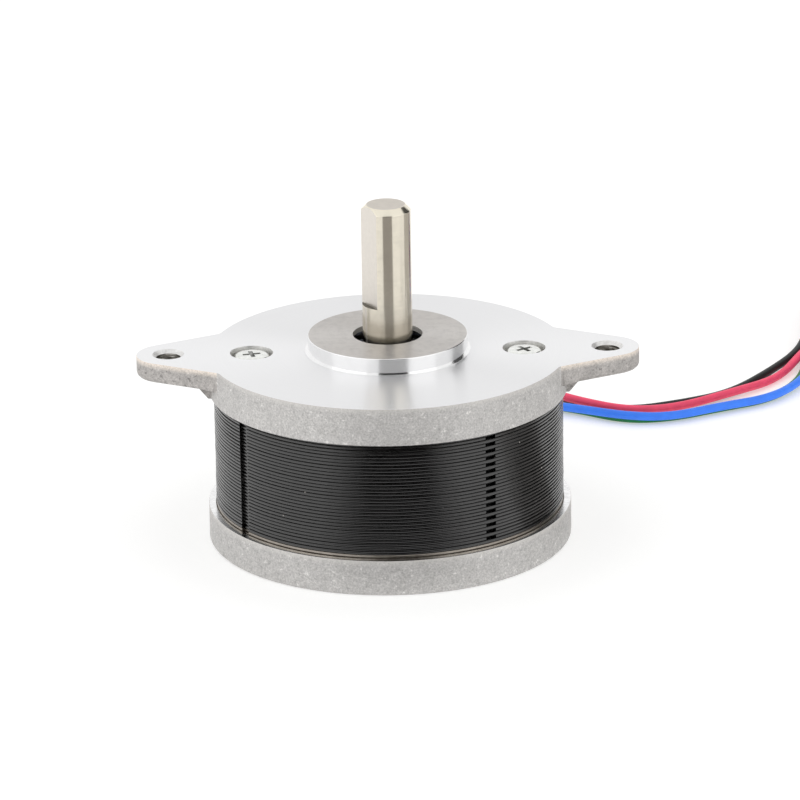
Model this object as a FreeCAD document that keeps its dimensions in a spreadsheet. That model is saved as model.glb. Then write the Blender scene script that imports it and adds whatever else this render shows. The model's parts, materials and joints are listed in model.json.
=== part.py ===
import FreeCAD, Part
import math
import os
import re

import Sketcher

# Round pancake stepper motor with two mounting ears, a flatted shaft and four loose leads.
# Lengths are millimetres and angles are degrees. +Z runs along the shaft, the ears lie along X,
# and the origin is the middle of the rear face, on the shaft's axis.

DRIVING_SIZES = {
    # outside of the housing
    "body_radius": 18.0,
    "cover_radius": 18.3,
    "flange_top": 19.3,
    "flange_depth": 3.8,
    "cover_depth": 3.65,
    "cover_chamfer": 0.2,
    "cavity_radius": 16.2,
    "front_wall": 1.5,
    "rear_wall": 1.2,
    # mounting ears
    "ear_spacing": 44.0,
    "ear_tip_radius": 3.2,
    "ear_taper": 27.0,
    "ear_thickness": 2.1,
    "ear_root": 16.6,
    "ear_root_fillet": 0.8,
    "ear_hole_radius": 1.25,
    "ear_hole_chamfer": 0.35,
    "gusset_width": 6.0,
    "gusset_reach": 1.0,
    "gusset_land": 0.5,
    "gusset_bury": 0.4,
    # pilot and bearing seats
    "pilot_radius": 8.0,
    "pilot_height": 1.75,
    "pilot_chamfer": 0.06,
    "pilot_foot_radius": 8.3,
    "pilot_foot_height": 0.2,
    "pilot_hole_radius": 3.5,
    "pilot_lip": 0.55,
    "rear_hole_radius": 3.2,
    "seat_wall": 1.4,
    # ball bearings
    "bearing_radius": 5.0,
    "bearing_width": 4.0,
    "front_bearing_low": 15.9,
    "rear_bearing_low": 0.9,
    "inner_land": 3.15,
    "outer_land": 4.35,
    "ball_circle": 3.75,
    "ball_radius": 0.75,
    "ball_count": 8,
    "race_gap": 0.04,
    "shield_seat": 4.55,
    "shield_recess": 0.3,
    "shield_thickness": 0.2,
    "shield_bore": 3.35,
    "cage_inner": 3.45,
    "cage_outer": 4.05,
    "cage_below": 1.2,
    "cage_above": 0.3,
    "cage_gap": 0.05,
    "washer_inner": 3.7,
    "washer_outer": 4.9,
    "washer_thickness": 0.2,
    "washer_waves": 3,
    # shaft
    "shaft_radius": 2.5,
    "shaft_low": 0.6,
    "shaft_top": 34.6,
    "shaft_chamfer": 0.55,
    "relief_radius": 2.3,
    "relief_length": 0.6,
    "flat_length": 10.3,
    "flat_depth": 0.5,
    "flat_azimuth": 210.0,
    # rotor
    "tooth_count": 50,
    "tooth_half_angle": 1.7,
    "rotor_radius": 9.2,
    "rotor_tooth_depth": 0.5,
    "cup_length": 4.25,
    "cup_recess_inner": 4.2,
    "cup_recess_outer": 7.4,
    "cup_recess_depth": 1.6,
    "magnet_length": 1.5,
    "magnet_radius": 8.2,
    "spacer_length": 0.5,
    "spacer_radius": 3.1,
    # stator stack
    "stack_radius": 17.55,
    "stack_low": 3.25,
    "sheet_thickness": 0.35,
    "sheet_count": 36,
    "yoke_inner": 15.3,
    "pole_count": 8,
    "first_pole": 22.5,
    "neck_width": 3.2,
    "shoe_half_angle": 16.1,
    "shoe_inner": 9.85,
    "shoe_outer": 10.9,
    "air_gap": 0.15,
    "notch_width": 1.2,
    "notch_depth": 0.5,
    "groove_azimuth": 33.75,
    "zipper_azimuth": 123.75,
    # pole insulators and windings
    "insulator_thickness": 0.45,
    "insulator_overhang": 0.2,
    "insulator_inset": 0.1,
    "insulator_angle_inset": 2.0,
    "insulator_ring_inner": 15.6,
    "insulator_ring_outer": 16.0,
    "insulator_lip": 0.4,
    "winding_inner": 11.4,
    "winding_outer": 14.9,
    "winding_build": 1.15,
    "winding_corner": 0.9,
    # assembly screws
    "screw_offset": 13.65,
    "screw_radius": 1.0,
    "screw_clearance": 0.1,
    "screw_low": 0.5,
    "head_radius": 1.8,
    "head_height": 1.0,
    "head_round": 0.45,
    "cross_length": 2.0,
    "cross_width": 0.5,
    "cross_depth": 0.6,
    "left_cross_turn": 12.0,
    "right_cross_turn": 34.0,
    "counterbore_radius": 2.15,
    "counterbore_depth": 1.15,
    "front_boss_radius": 1.9,
    "front_boss_low": 16.4,
    "rear_boss_radius": 1.7,
    "rear_boss_top": 2.6,
    # leads, their grommet and the put-away coil
    "lead_diameter": 0.9,
    "lead_pitch": 1.1,
    "lead_height": 2.2,
    "lead_start": 16.8,
    "grommet_width": 5.4,
    "grommet_inner": 16.3,
    "grommet_lip_width": 20.0,
    "grommet_lip_low": 0.95,
    "grommet_lip_top": 3.5,
    "grommet_lip_depth": 0.5,
    "tip_diameter": 0.5,
    "tip_length": 4.0,
    "coil_x": 61.5,
    "coil_y": 63.0,
    "coil_inner": 8.35,
    "coil_outer": 12.5,
    "coil_height": 3.95,
    "tie_thickness": 0.35,
    "tie_width": 1.6,
    "tie_head": 2.4,
    "tie_head_depth": 1.3,
    "coil_lead_inset": 0.05,
    # how far joined features reach into each other, and how far cuts run past the solid
    "join_overlap": 0.2,
    "cut_margin": 1.0,
}

Vector = FreeCAD.Vector
UP = Vector(0, 0, 1)
ORIGIN_POINT = (-1, 1)
H_AXIS = -1
V_AXIS = -2
START, END, CENTRE = 1, 2, 3
NEAR = 1e-3
ARC_SHARE = 0.45
POINTS_PER_WAVE = 16

doc = FreeCAD.newDocument("stepper_motor")
dims = doc.addObject("Spreadsheet::Sheet", "dims")
for sheet_row, (sheet_name, sheet_number) in enumerate(DRIVING_SIZES.items(), start=1):
    dims.set(f"A{sheet_row}", sheet_name)
    dims.set(f"B{sheet_row}", str(sheet_number))
    dims.setAlias(f"B{sheet_row}", sheet_name)
doc.recompute()

STACK_TOP = "stack_low + sheet_thickness * sheet_count"
PILOT_TOP = "flange_top + pilot_height"
REAR_CUP_LOW = "rear_bearing_low + bearing_width + spacer_length"
MAGNET_LOW = f"{REAR_CUP_LOW} + cup_length"
FRONT_CUP_LOW = f"{MAGNET_LOW} + magnet_length"

sub_parts = []


def formula(text):
    """Spell a formula of sheet names as the sheet's own cells."""
    return re.sub(r"[a-z_]{3,}", lambda word: "dims." + word.group(), text)


def size(text):
    """Work out a formula of sheet names."""
    return float(dims.evalExpression(formula(text)))


def bind(item, name, text):
    """Tie one property to a formula of sheet names."""
    item.setExpression(name, formula(text))


def keep(item, label):
    """Name a finished sub-part and list it for export."""
    item.Label = label
    sub_parts.append(item)
    return item


def new_body(name):
    return doc.addObject("PartDesign::Body", name)


def new_sketch(body, name, role="XY_Plane", lift="0", turn="0"):
    """A sketch on one of the body's own planes, lifted along its normal and turned about it."""
    made = body.newObject("Sketcher::SketchObject", name)
    plane = next(item for item in body.Origin.OriginFeatures if item.Role == role)
    made.AttachmentSupport = (plane, [""])
    made.MapMode = "FlatFace"
    turned = FreeCAD.Rotation(UP, size(turn))
    made.AttachmentOffset = FreeCAD.Placement(Vector(0, 0, size(lift)), turned)
    bind(made, "AttachmentOffset.Base.z", lift)
    if turn != "0":
        bind(made, "AttachmentOffset.Rotation.Angle", turn)
    return made


def hold(made, kind, where, text, unit=""):
    """Add one dimension to a sketch and tie it to the sheet."""
    start = math.radians(size(text)) if unit else size(text)
    index = made.addConstraint(Sketcher.Constraint(kind, *where, start))
    made.setExpression(f"Constraints[{index}]", f"({formula(text)}){unit}")


def place(made, line, point, x, y):
    """Hold a sketch point at x, y; a coordinate of 0 puts it on the axis."""
    for kind, text, axis in (("DistanceX", x, V_AXIS), ("DistanceY", y, H_AXIS)):
        if text == "0":
            made.addConstraint(Sketcher.Constraint("PointOnObject", line, point, axis))
        else:
            hold(made, kind, ORIGIN_POINT + (line, point), text)


def circle(made, radius, x="0", y="0"):
    line = made.addGeometry(Part.Circle(Vector(size(x), size(y), 0), UP, size(radius)), False)
    hold(made, "Radius", (line,), radius)
    place(made, line, CENTRE, x, y)


def outline(made, corners):
    """A closed outline of straight lines through the corners."""
    spots = [Vector(size(x), size(y), 0) for x, y in corners]
    lines = []
    for spot, following in zip(spots, spots[1:] + spots[:1]):
        lines.append(made.addGeometry(Part.LineSegment(spot, following), False))
    for line, following in zip(lines, lines[1:] + lines[:1]):
        made.addConstraint(Sketcher.Constraint("Coincident", line, END, following, START))
    for line, (x, y) in zip(lines, corners):
        place(made, line, START, x, y)


def rectangle(made, left, right, low, high):
    outline(made, ((left, low), (right, low), (right, high), (left, high)))


def sector(made, inner, outer, half_angle):
    """A piece of a ring about the sketch's origin, centred on its horizontal axis."""
    half = math.radians(size(half_angle))

    def arc(radius):
        whole = Part.Circle(Vector(0, 0, 0), UP, size(radius))
        line = made.addGeometry(Part.ArcOfCircle(whole, -half, half), False)
        made.addConstraint(Sketcher.Constraint("Coincident", line, CENTRE, *ORIGIN_POINT))
        hold(made, "Radius", (line,), radius)
        return line

    def flank(angle):
        ray = Vector(math.cos(angle), math.sin(angle), 0)
        return made.addGeometry(Part.LineSegment(ray * size(inner), ray * size(outer)), False)

    near, far = arc(inner), arc(outer)
    first, last = flank(-half), flank(half)
    for side, end in ((first, START), (last, END)):
        made.addConstraint(Sketcher.Constraint("Coincident", side, START, near, end))
        made.addConstraint(Sketcher.Constraint("Coincident", side, END, far, end))
        made.addConstraint(Sketcher.Constraint("PointOnObject", *ORIGIN_POINT, side))
    made.addConstraint(Sketcher.Constraint("Symmetric", near, START, near, END, H_AXIS))
    hold(made, "Angle", (*ORIGIN_POINT, last, START), half_angle, " * 1 deg")


def pad(body, name, profile, length, midplane=False, reverse=False):
    made = body.newObject("PartDesign::Pad", name)
    made.Profile = profile
    made.Midplane = midplane
    made.Reversed = reverse
    bind(made, "Length", length)
    doc.recompute()
    return made


def cut(body, make):
    """Run one cutting step and see that it took something away."""
    before = body.Shape.Volume
    made = make()
    doc.recompute()
    if body.Shape.Volume > before - 1e-4:
        raise RuntimeError(f"{made.Name} cuts nothing")
    return made


def pocket(body, name, profile, depth, reverse=False, midplane=False):
    def make():
        made = body.newObject("PartDesign::Pocket", name)
        made.Profile = profile
        made.Reversed = reverse
        made.Midplane = midplane
        bind(made, "Length", depth)
        return made
    return cut(body, make)


def revolve(body, name, profile, kind="PartDesign::Revolution"):
    made = body.newObject(kind, name)
    made.Profile = profile
    made.ReferenceAxis = (profile, ["V_Axis"])
    made.Angle = 360
    doc.recompute()
    return made


def around(body, name, originals, profile, count):
    """Repeat features evenly about the normal of a sketch that lies on the shaft's axis."""
    made = body.newObject("PartDesign::PolarPattern", name)
    made.Originals = originals
    made.Axis = (profile, ["N_Axis"])
    made.Angle = 360
    bind(made, "Occurrences", count)
    body.Tip = made
    doc.recompute()
    return made


def along(body, name, originals, profile, length, count):
    """Repeat features evenly along the normal of a sketch."""
    made = body.newObject("PartDesign::LinearPattern", name)
    made.Originals = originals
    made.Direction = (profile, ["N_Axis"])
    bind(made, "Length", length)
    bind(made, "Occurrences", count)
    body.Tip = made
    doc.recompute()
    return made


def edge_names(body, wanted):
    """Names of the body's edges that pass a test on the edge."""
    return [f"Edge{index}" for index, edge in enumerate(body.Shape.Edges, start=1) if wanted(edge)]


def dress(body, kind, name, wanted, property_name, text):
    """Fillet or chamfer the edges that pass a test."""
    chosen = edge_names(body, wanted)
    if not chosen:
        raise RuntimeError(f"{name} finds no edge")
    base = body.Tip
    made = body.newObject(kind, name)
    made.Base = (base, chosen)
    bind(made, property_name, text)
    body.Tip = made
    doc.recompute()
    return made


def rim(radius, level):
    """Test for a full circular edge of a radius about the shaft at a level."""
    def wanted(edge):
        box = edge.BoundBox
        flat = abs(box.ZMin - size(level)) < NEAR and box.ZLength < NEAR
        return flat and abs(box.XMax - size(radius)) < NEAR and abs(box.XMin + size(radius)) < NEAR
    return wanted


def ring(name, inner, outer, low, length):
    """A plain ring about the shaft."""
    body = new_body(name)
    profile = new_sketch(body, f"{name}_outline", lift=low)
    circle(profile, inner)
    circle(profile, outer)
    pad(body, f"{name}_pad", profile, length)
    return body


def group(label, members):
    """One node that holds several separate solids."""
    made = doc.addObject("Part::Compound", label)
    made.Links = members
    return keep(made, label)


def make_front_flange():
    body = new_body("front_flange")
    section = new_sketch(body, "flange_section", "XZ_Plane")
    ceiling = "flange_top - front_wall"
    low = "flange_top - flange_depth"
    outline(section, (
        ("body_radius", low),
        ("body_radius", "flange_top"),
        ("pilot_foot_radius", "flange_top"),
        ("pilot_foot_radius", "flange_top + pilot_foot_height"),
        ("pilot_radius", "flange_top + pilot_foot_height"),
        ("pilot_radius", PILOT_TOP),
        ("pilot_hole_radius", PILOT_TOP),
        ("pilot_hole_radius", f"{PILOT_TOP} - pilot_lip"),
        ("bearing_radius", f"{PILOT_TOP} - pilot_lip"),
        ("bearing_radius", "front_bearing_low"),
        ("bearing_radius + seat_wall", "front_bearing_low"),
        ("bearing_radius + seat_wall", ceiling),
        ("cavity_radius", ceiling),
        ("cavity_radius", STACK_TOP),
        ("stack_radius", STACK_TOP),
        ("stack_radius", low),
    ))
    revolve(body, "flange_turning", section)

    # each ear is a round tip between two straight flanks that widen towards the body
    ear = new_sketch(body, "ear_outline", lift="flange_top - ear_thickness")
    taper = math.radians(size("ear_taper"))
    tip = Vector(size("ear_spacing / 2"), 0, 0)
    reach = size("ear_tip_radius")
    touch = tip + Vector(reach * math.sin(taper), reach * math.cos(taper), 0)
    root = Vector(size("ear_root"), touch.y + (touch.x - size("ear_root")) * math.tan(taper), 0)
    sweep = math.pi / 2 - taper
    nose = ear.addGeometry(Part.ArcOfCircle(Part.Circle(tip, UP, reach), -sweep, sweep), False)
    upper = ear.addGeometry(Part.LineSegment(touch, root), False)
    low_root = Vector(root.x, -root.y, 0)
    inner = ear.addGeometry(Part.LineSegment(root, low_root), False)
    lower = ear.addGeometry(Part.LineSegment(low_root, Vector(touch.x, -touch.y, 0)), False)
    ear.addConstraint([
        Sketcher.Constraint("Tangent", nose, END, upper, START),
        Sketcher.Constraint("Coincident", upper, END, inner, START),
        Sketcher.Constraint("Coincident", inner, END, lower, START),
        Sketcher.Constraint("Tangent", lower, END, nose, START),
        Sketcher.Constraint("Symmetric", inner, START, inner, END, H_AXIS),
    ])
    place(ear, nose, CENTRE, "ear_spacing / 2", "0")
    hold(ear, "Radius", (nose,), "ear_tip_radius")
    hold(ear, "DistanceX", ORIGIN_POINT + (inner, START), "ear_root")
    hold(ear, "Angle", (H_AXIS, upper), "180 - ear_taper", " * 1 deg")
    first_ear = pad(body, "ear", ear, "ear_thickness")
    around(body, "ears", [first_ear], ear, "2")

    def ear_root_corner(edge):
        middle = edge.CenterOfMass
        upright = abs(edge.BoundBox.ZLength - size("ear_thickness")) < NEAR and edge.BoundBox.XLength < NEAR
        return upright and abs(math.hypot(middle.x, middle.y) - size("body_radius")) < NEAR
    dress(body, "PartDesign::Fillet", "ear_root_fillets", ear_root_corner, "Radius", "ear_root_fillet")

    # a gusset under each ear's root carries the ear down onto the skirt
    rib = new_sketch(body, "gusset_outline", "XZ_Plane")
    underside = "flange_top - ear_thickness"
    outline(rib, (
        ("body_radius - gusset_bury", f"{underside} + join_overlap"),
        ("body_radius - gusset_bury", low),
        ("body_radius", low),
        ("body_radius + gusset_reach", f"{underside} - gusset_land"),
        ("body_radius + gusset_reach", f"{underside} + join_overlap"),
    ))
    first_gusset = pad(body, "gusset", rib, "gusset_width", midplane=True)
    around(body, "gussets", [first_gusset], ear, "2")

    bosses = new_sketch(body, "front_boss_outline", lift="front_boss_low")
    for x in ("screw_offset", "-screw_offset"):
        circle(bosses, "front_boss_radius", x)
    pad(body, "front_bosses", bosses, f"{ceiling} - front_boss_low + join_overlap")

    sinks = new_sketch(body, "counterbore_outline", lift="flange_top")
    passes = new_sketch(body, "screw_pass_outline", lift="flange_top")
    for x in ("screw_offset", "-screw_offset"):
        circle(sinks, "counterbore_radius", x)
        circle(passes, "screw_radius + screw_clearance", x)
    pocket(body, "counterbores", sinks, "counterbore_depth")
    pocket(body, "screw_passes", passes, "flange_depth")

    holes = new_sketch(body, "ear_hole_outline", lift="flange_top")
    for x in ("ear_spacing / 2", "-ear_spacing / 2"):
        circle(holes, "ear_hole_radius", x)
    pocket(body, "ear_holes", holes, "ear_thickness")

    def ear_hole_mouth(edge):
        box = edge.BoundBox
        radius = size("ear_hole_radius")
        return (abs(box.ZMin - size("flange_top")) < NEAR and box.ZLength < NEAR
                and abs(box.XLength - 2 * radius) < NEAR)
    dress(body, "PartDesign::Chamfer", "ear_hole_mouths", ear_hole_mouth, "Size", "ear_hole_chamfer")
    pilot_edge = rim("pilot_radius", PILOT_TOP)
    dress(body, "PartDesign::Chamfer", "pilot_edge", pilot_edge, "Size", "pilot_chamfer")
    keep(body, "front_flange")


def make_rear_cover():
    body = new_body("rear_cover")
    section = new_sketch(body, "cover_section", "XZ_Plane")
    outline(section, (
        ("rear_hole_radius", "0"),
        ("cover_radius - cover_chamfer", "0"),
        ("cover_radius", "cover_chamfer"),
        ("cover_radius", "cover_depth"),
        ("stack_radius", "cover_depth"),
        ("stack_radius", "stack_low"),
        ("cavity_radius", "stack_low"),
        ("cavity_radius", "rear_wall"),
        ("bearing_radius + seat_wall", "rear_wall"),
        ("bearing_radius + seat_wall", "rear_bearing_low + bearing_width"),
        ("bearing_radius", "rear_bearing_low + bearing_width"),
        ("bearing_radius", "rear_bearing_low"),
        ("rear_hole_radius", "rear_bearing_low"),
    ))
    revolve(body, "cover_turning", section)

    bosses = new_sketch(body, "rear_boss_outline", lift="rear_wall / 2")
    for x in ("screw_offset", "-screw_offset"):
        circle(bosses, "rear_boss_radius", x)
    pad(body, "rear_bosses", bosses, "rear_boss_top - rear_wall / 2")
    threads = new_sketch(body, "screw_hole_outline", lift="rear_boss_top")
    for x in ("screw_offset", "-screw_offset"):
        circle(threads, "screw_radius", x)
    pocket(body, "screw_holes", threads, "rear_boss_top")

    # the leads leave through a notch in the wall, half way between the ears
    notch = new_sketch(body, "lead_notch_outline", "XZ_Plane")
    rectangle(notch, "-grommet_width / 2", "grommet_width / 2", "rear_wall", "cover_depth + cut_margin")
    pocket(body, "lead_notch", notch, "cover_radius + cut_margin")
    keep(body, "rear_cover")


def make_stator_stack():
    body = new_body("stator_stack")
    tall = "sheet_thickness * sheet_count"
    yoke = new_sketch(body, "yoke_outline", lift="stack_low")
    circle(yoke, "stack_radius")
    circle(yoke, "yoke_inner")
    pad(body, "yoke", yoke, tall)

    neck = new_sketch(body, "neck_outline", lift="stack_low", turn="first_pole")
    rectangle(neck, "shoe_inner + join_overlap", "yoke_inner + join_overlap",
              "-neck_width / 2", "neck_width / 2")
    pole = [pad(body, "neck", neck, tall)]
    shoe = new_sketch(body, "shoe_outline", lift="stack_low", turn="first_pole")
    sector(shoe, "shoe_inner", "shoe_outer", "shoe_half_angle")
    pole.append(pad(body, "shoe", shoe, tall))
    for step in (-2, -1, 0, 1, 2):
        tooth = new_sketch(body, "stator_tooth_outline", lift="stack_low",
                           turn=f"first_pole + {step} * 360 / tooth_count")
        sector(tooth, "rotor_radius + air_gap", "shoe_inner + join_overlap", "tooth_half_angle")
        pole.append(pad(body, "stator_tooth", tooth, tall))
    around(body, "poles", pole, yoke, "pole_count")

    # two plain grooves and two rows of notches in every other sheet mark how the sheets were turned;
    # the two sheets at the bottom have the grooves only
    def rim_notch(name, azimuth, lift, depth):
        profile = new_sketch(body, f"{name}_outline", lift=lift, turn=azimuth)
        rectangle(profile, "stack_radius - notch_depth", "stack_radius + cut_margin",
                  "-notch_width / 2", "notch_width / 2")
        return pocket(body, name, profile, depth)

    for half_turn in ("0", "180"):
        rim_notch("groove", f"groove_azimuth + {half_turn}", STACK_TOP, tall)
    fourth_sheet = "stack_low + 4 * sheet_thickness"
    first_row = [rim_notch("zipper_notch", f"zipper_azimuth + {half_turn}", fourth_sheet, "sheet_thickness")
                 for half_turn in ("0", "180")]
    along(body, "zipper_rows", first_row, yoke, "sheet_thickness * (sheet_count - 4)", "sheet_count / 2 - 1")
    keep(body, "stator_stack")


def make_insulator(label, base, downwards):
    """A moulded plate on one end of the stack, with lips that keep the windings on the necks."""
    body = new_body(label)
    plate = "insulator_thickness"
    lip = "insulator_thickness + winding_build"
    ring_line = new_sketch(body, f"{label}_ring_outline", lift=base)
    circle(ring_line, "insulator_ring_inner")
    circle(ring_line, "insulator_ring_outer")
    pad(body, f"{label}_ring", ring_line, lip, reverse=downwards)
    neck = new_sketch(body, f"{label}_neck_outline", lift=base, turn="first_pole")
    rectangle(neck, "shoe_inner + join_overlap", "insulator_ring_inner + join_overlap",
              "-neck_width / 2 - insulator_overhang", "neck_width / 2 + insulator_overhang")
    arm = [pad(body, f"{label}_neck", neck, plate, reverse=downwards)]
    inner = "shoe_inner + insulator_inset"
    for part, outer, height in (("shoe", "shoe_outer", plate), ("lip", f"{inner} + insulator_lip", lip)):
        profile = new_sketch(body, f"{label}_{part}_outline", lift=base, turn="first_pole")
        sector(profile, inner, outer, "shoe_half_angle - insulator_angle_inset")
        arm.append(pad(body, f"{label}_{part}", profile, height, reverse=downwards))
    around(body, f"{label}_arms", arm, ring_line, "pole_count")
    keep(body, label)


def make_winding(name, azimuth):
    """One coil round one pole neck: a frame with rounded outer corners."""
    body = new_body(name)
    low = "stack_low - insulator_thickness"
    high = f"{STACK_TOP} + insulator_thickness"
    inner_half = "neck_width / 2 + insulator_overhang"
    frame = new_sketch(body, f"{name}_outline", "YZ_Plane", lift="winding_inner")
    rectangle(frame, f"-({inner_half} + winding_build)", f"{inner_half} + winding_build",
              f"{low} - winding_build", f"{high} + winding_build")
    pad(body, f"{name}_block", frame, "winding_outer - winding_inner")

    def long_corner(edge):
        return abs(edge.BoundBox.XLength - edge.Length) < NEAR
    dress(body, "PartDesign::Fillet", f"{name}_corners", long_corner, "Radius", "winding_corner")
    window = new_sketch(body, f"{name}_window", "YZ_Plane", lift="winding_outer")
    rectangle(window, f"-({inner_half})", inner_half, low, high)
    pocket(body, f"{name}_opening", window, "winding_outer - winding_inner")
    body.Placement = FreeCAD.Placement(Vector(0, 0, 0), FreeCAD.Rotation(UP, size(azimuth)))
    bind(body, "Placement.Rotation.Angle", azimuth)
    return body


def make_windings():
    phases = {"phase_a_windings": [], "phase_b_windings": []}
    for index in range(int(size("pole_count"))):
        label = list(phases)[index % len(phases)]
        azimuth = f"first_pole + {index} * 360 / pole_count"
        phases[label].append(make_winding(f"winding_{index + 1}", azimuth))
    for label, members in phases.items():
        group(label, members)


def make_shaft():
    """A round journal with a grinding relief above the front bearing, then a flatted drive end."""
    body = new_body("rotor_shaft")
    flat_low = "shaft_top - flat_length"
    seat_top = "front_bearing_low + bearing_width"
    journal = new_sketch(body, "journal_section", "XZ_Plane")
    outline(journal, (
        ("0", "shaft_low"),
        ("shaft_radius - shaft_chamfer", "shaft_low"),
        ("shaft_radius", "shaft_low + shaft_chamfer"),
        ("shaft_radius", seat_top),
        ("relief_radius", seat_top),
        ("relief_radius", f"{seat_top} + relief_length"),
        ("shaft_radius", f"{seat_top} + relief_length"),
        ("shaft_radius", flat_low),
        ("0", flat_low),
    ))
    revolve(body, "journal_turning", journal)

    drive = new_sketch(body, "drive_end_section", "XZ_Plane")
    outline(drive, (
        ("0", flat_low),
        ("shaft_radius", flat_low),
        ("shaft_radius", "shaft_top - shaft_chamfer"),
        ("shaft_radius - shaft_chamfer", "shaft_top"),
        ("0", "shaft_top"),
    ))
    drive_end = revolve(body, "drive_end_turning", drive)
    chip = new_sketch(body, "flat_outline", lift="shaft_top", turn="flat_azimuth")
    rectangle(chip, "shaft_radius - flat_depth", "shaft_radius + cut_margin",
              "-(shaft_radius + cut_margin)", "shaft_radius + cut_margin")
    flat = pocket(body, "drive_flat", chip, "flat_length")
    # the journal and the drive end keep their own round faces, so that each can be measured
    for feature in (drive_end, flat):
        feature.Refine = False
    doc.recompute()
    keep(body, "rotor_shaft")


def make_rotor_cup(label, low, turn, open_end):
    """A toothed pole cup, hollowed on the side away from the magnet."""
    body = new_body(label)
    core = new_sketch(body, f"{label}_core_outline", lift=low)
    circle(core, "shaft_radius")
    circle(core, "rotor_radius - rotor_tooth_depth")
    pad(body, f"{label}_core", core, "cup_length")
    tooth = new_sketch(body, f"{label}_tooth_outline", lift=low, turn=turn)
    sector(tooth, "rotor_radius - rotor_tooth_depth - join_overlap", "rotor_radius", "tooth_half_angle")
    first_tooth = pad(body, f"{label}_tooth", tooth, "cup_length")
    around(body, f"{label}_teeth", [first_tooth], core, "tooth_count")
    hollow = new_sketch(body, f"{label}_hollow_outline", lift=open_end)
    circle(hollow, "cup_recess_inner")
    circle(hollow, "cup_recess_outer")
    pocket(body, f"{label}_hollow", hollow, "cup_recess_depth", reverse=open_end == low)
    keep(body, label)


def make_rotor():
    make_shaft()
    make_rotor_cup("rotor_rear_cup", REAR_CUP_LOW, "0", REAR_CUP_LOW)
    make_rotor_cup("rotor_front_cup", FRONT_CUP_LOW, "180 / tooth_count", f"{FRONT_CUP_LOW} + cup_length")
    keep(ring("rotor_magnet", "shaft_radius", "magnet_radius", MAGNET_LOW, "magnet_length"), "rotor_magnet")
    keep(ring("rear_spacer", "shaft_radius", "spacer_radius", "rear_bearing_low + bearing_width",
              "spacer_length"), "rear_spacer")
    keep(ring("front_spacer", "shaft_radius", "spacer_radius", f"{FRONT_CUP_LOW} + cup_length",
              "front_bearing_low - spacer_length - rear_bearing_low - bearing_width"
              " - 2 * cup_length - magnet_length"), "front_spacer")


def make_bearing_ring(label, inner, outer, low, shield_seats):
    """A bearing ring with a round race, and for the outer ring a step for each shield."""
    body = new_body(label)
    high = f"{low} + bearing_width"
    section = new_sketch(body, f"{label}_section", "XZ_Plane")
    if shield_seats:
        outline(section, (
            (outer, low), (outer, high), ("shield_seat", high), ("shield_seat", f"{high} - shield_recess"),
            (inner, f"{high} - shield_recess"), (inner, f"{low} + shield_recess"),
            ("shield_seat", f"{low} + shield_recess"), ("shield_seat", low),
        ))
    else:
        rectangle(section, inner, outer, low, high)
    revolve(body, f"{label}_turning", section)
    race = new_sketch(body, f"{label}_race", "XZ_Plane")
    circle(race, "ball_radius + race_gap", "ball_circle", f"{low} + bearing_width / 2")
    cut(body, lambda: revolve(body, f"{label}_groove", race, "PartDesign::Groove"))
    keep(body, label)


def make_bearing(side, low):
    """A shielded ball bearing: two rings, balls, a crown cage and two shields."""
    middle = f"{low} + bearing_width / 2"
    make_bearing_ring(f"{side}_bearing_outer_ring", "outer_land", "bearing_radius", low, True)
    make_bearing_ring(f"{side}_bearing_inner_ring", "shaft_radius", "inner_land", low, False)

    balls = []
    count = int(size("ball_count"))
    for index in range(count):
        ball = doc.addObject("Part::Sphere", f"{side}_ball_{index + 1}")
        bind(ball, "Radius", "ball_radius")
        turn = FreeCAD.Rotation(UP, 360 * index / count)
        spot = turn.multVec(Vector(size("ball_circle"), 0, 0)) + Vector(0, 0, size(middle))
        ball.Placement = FreeCAD.Placement(spot, turn)
        bind(ball, "Placement.Base.z", middle)
        balls.append(ball)
    group(f"{side}_bearing_balls", balls)

    cage = ring(f"{side}_bearing_cage", "cage_inner", "cage_outer", f"{middle} - cage_below",
                "cage_below + cage_above")
    seat = new_sketch(cage, f"{side}_cage_pocket_outline", "YZ_Plane")
    circle(seat, "ball_radius + cage_gap", "0", middle)
    first_pocket = pocket(cage, f"{side}_cage_pocket", seat, "bearing_radius")
    axis_line = cage.Group[0]
    around(cage, f"{side}_cage_pockets", [first_pocket], axis_line, "ball_count")
    keep(cage, f"{side}_bearing_cage")

    low_shield = f"{low} + shield_recess - shield_thickness"
    high_shield = f"{low} + bearing_width - shield_recess"
    group(f"{side}_bearing_shields", [
        ring(f"{side}_{end}_shield", "shield_bore", "shield_seat", level, "shield_thickness")
        for end, level in (("low", low_shield), ("high", high_shield))])


def make_wave_washer():
    """A wavy spring ring that presses the front bearing's outer ring back."""
    low = size("front_bearing_low + bearing_width")
    room = size(f"{PILOT_TOP} - pilot_lip") - low
    thickness = size("washer_thickness")
    swing = (room - thickness) / 2
    waves = int(size("washer_waves"))
    steps = POINTS_PER_WAVE * waves

    def wavy_ring(radius):
        spots = []
        for step in range(steps):
            angle = 2 * math.pi * step / steps
            level = low + swing * (1 + math.cos(waves * angle))
            spots.append(Vector(radius * math.cos(angle), radius * math.sin(angle), level))
        curve = Part.BSplineCurve()
        curve.interpolate(spots, True)
        return curve.toShape()

    face = Part.makeRuledSurface(wavy_ring(size("washer_inner")), wavy_ring(size("washer_outer")))
    washer = doc.addObject("Part::Feature", "wave_washer")
    washer.Shape = face.extrude(Vector(0, 0, thickness))
    keep(washer, "wave_washer")


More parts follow.
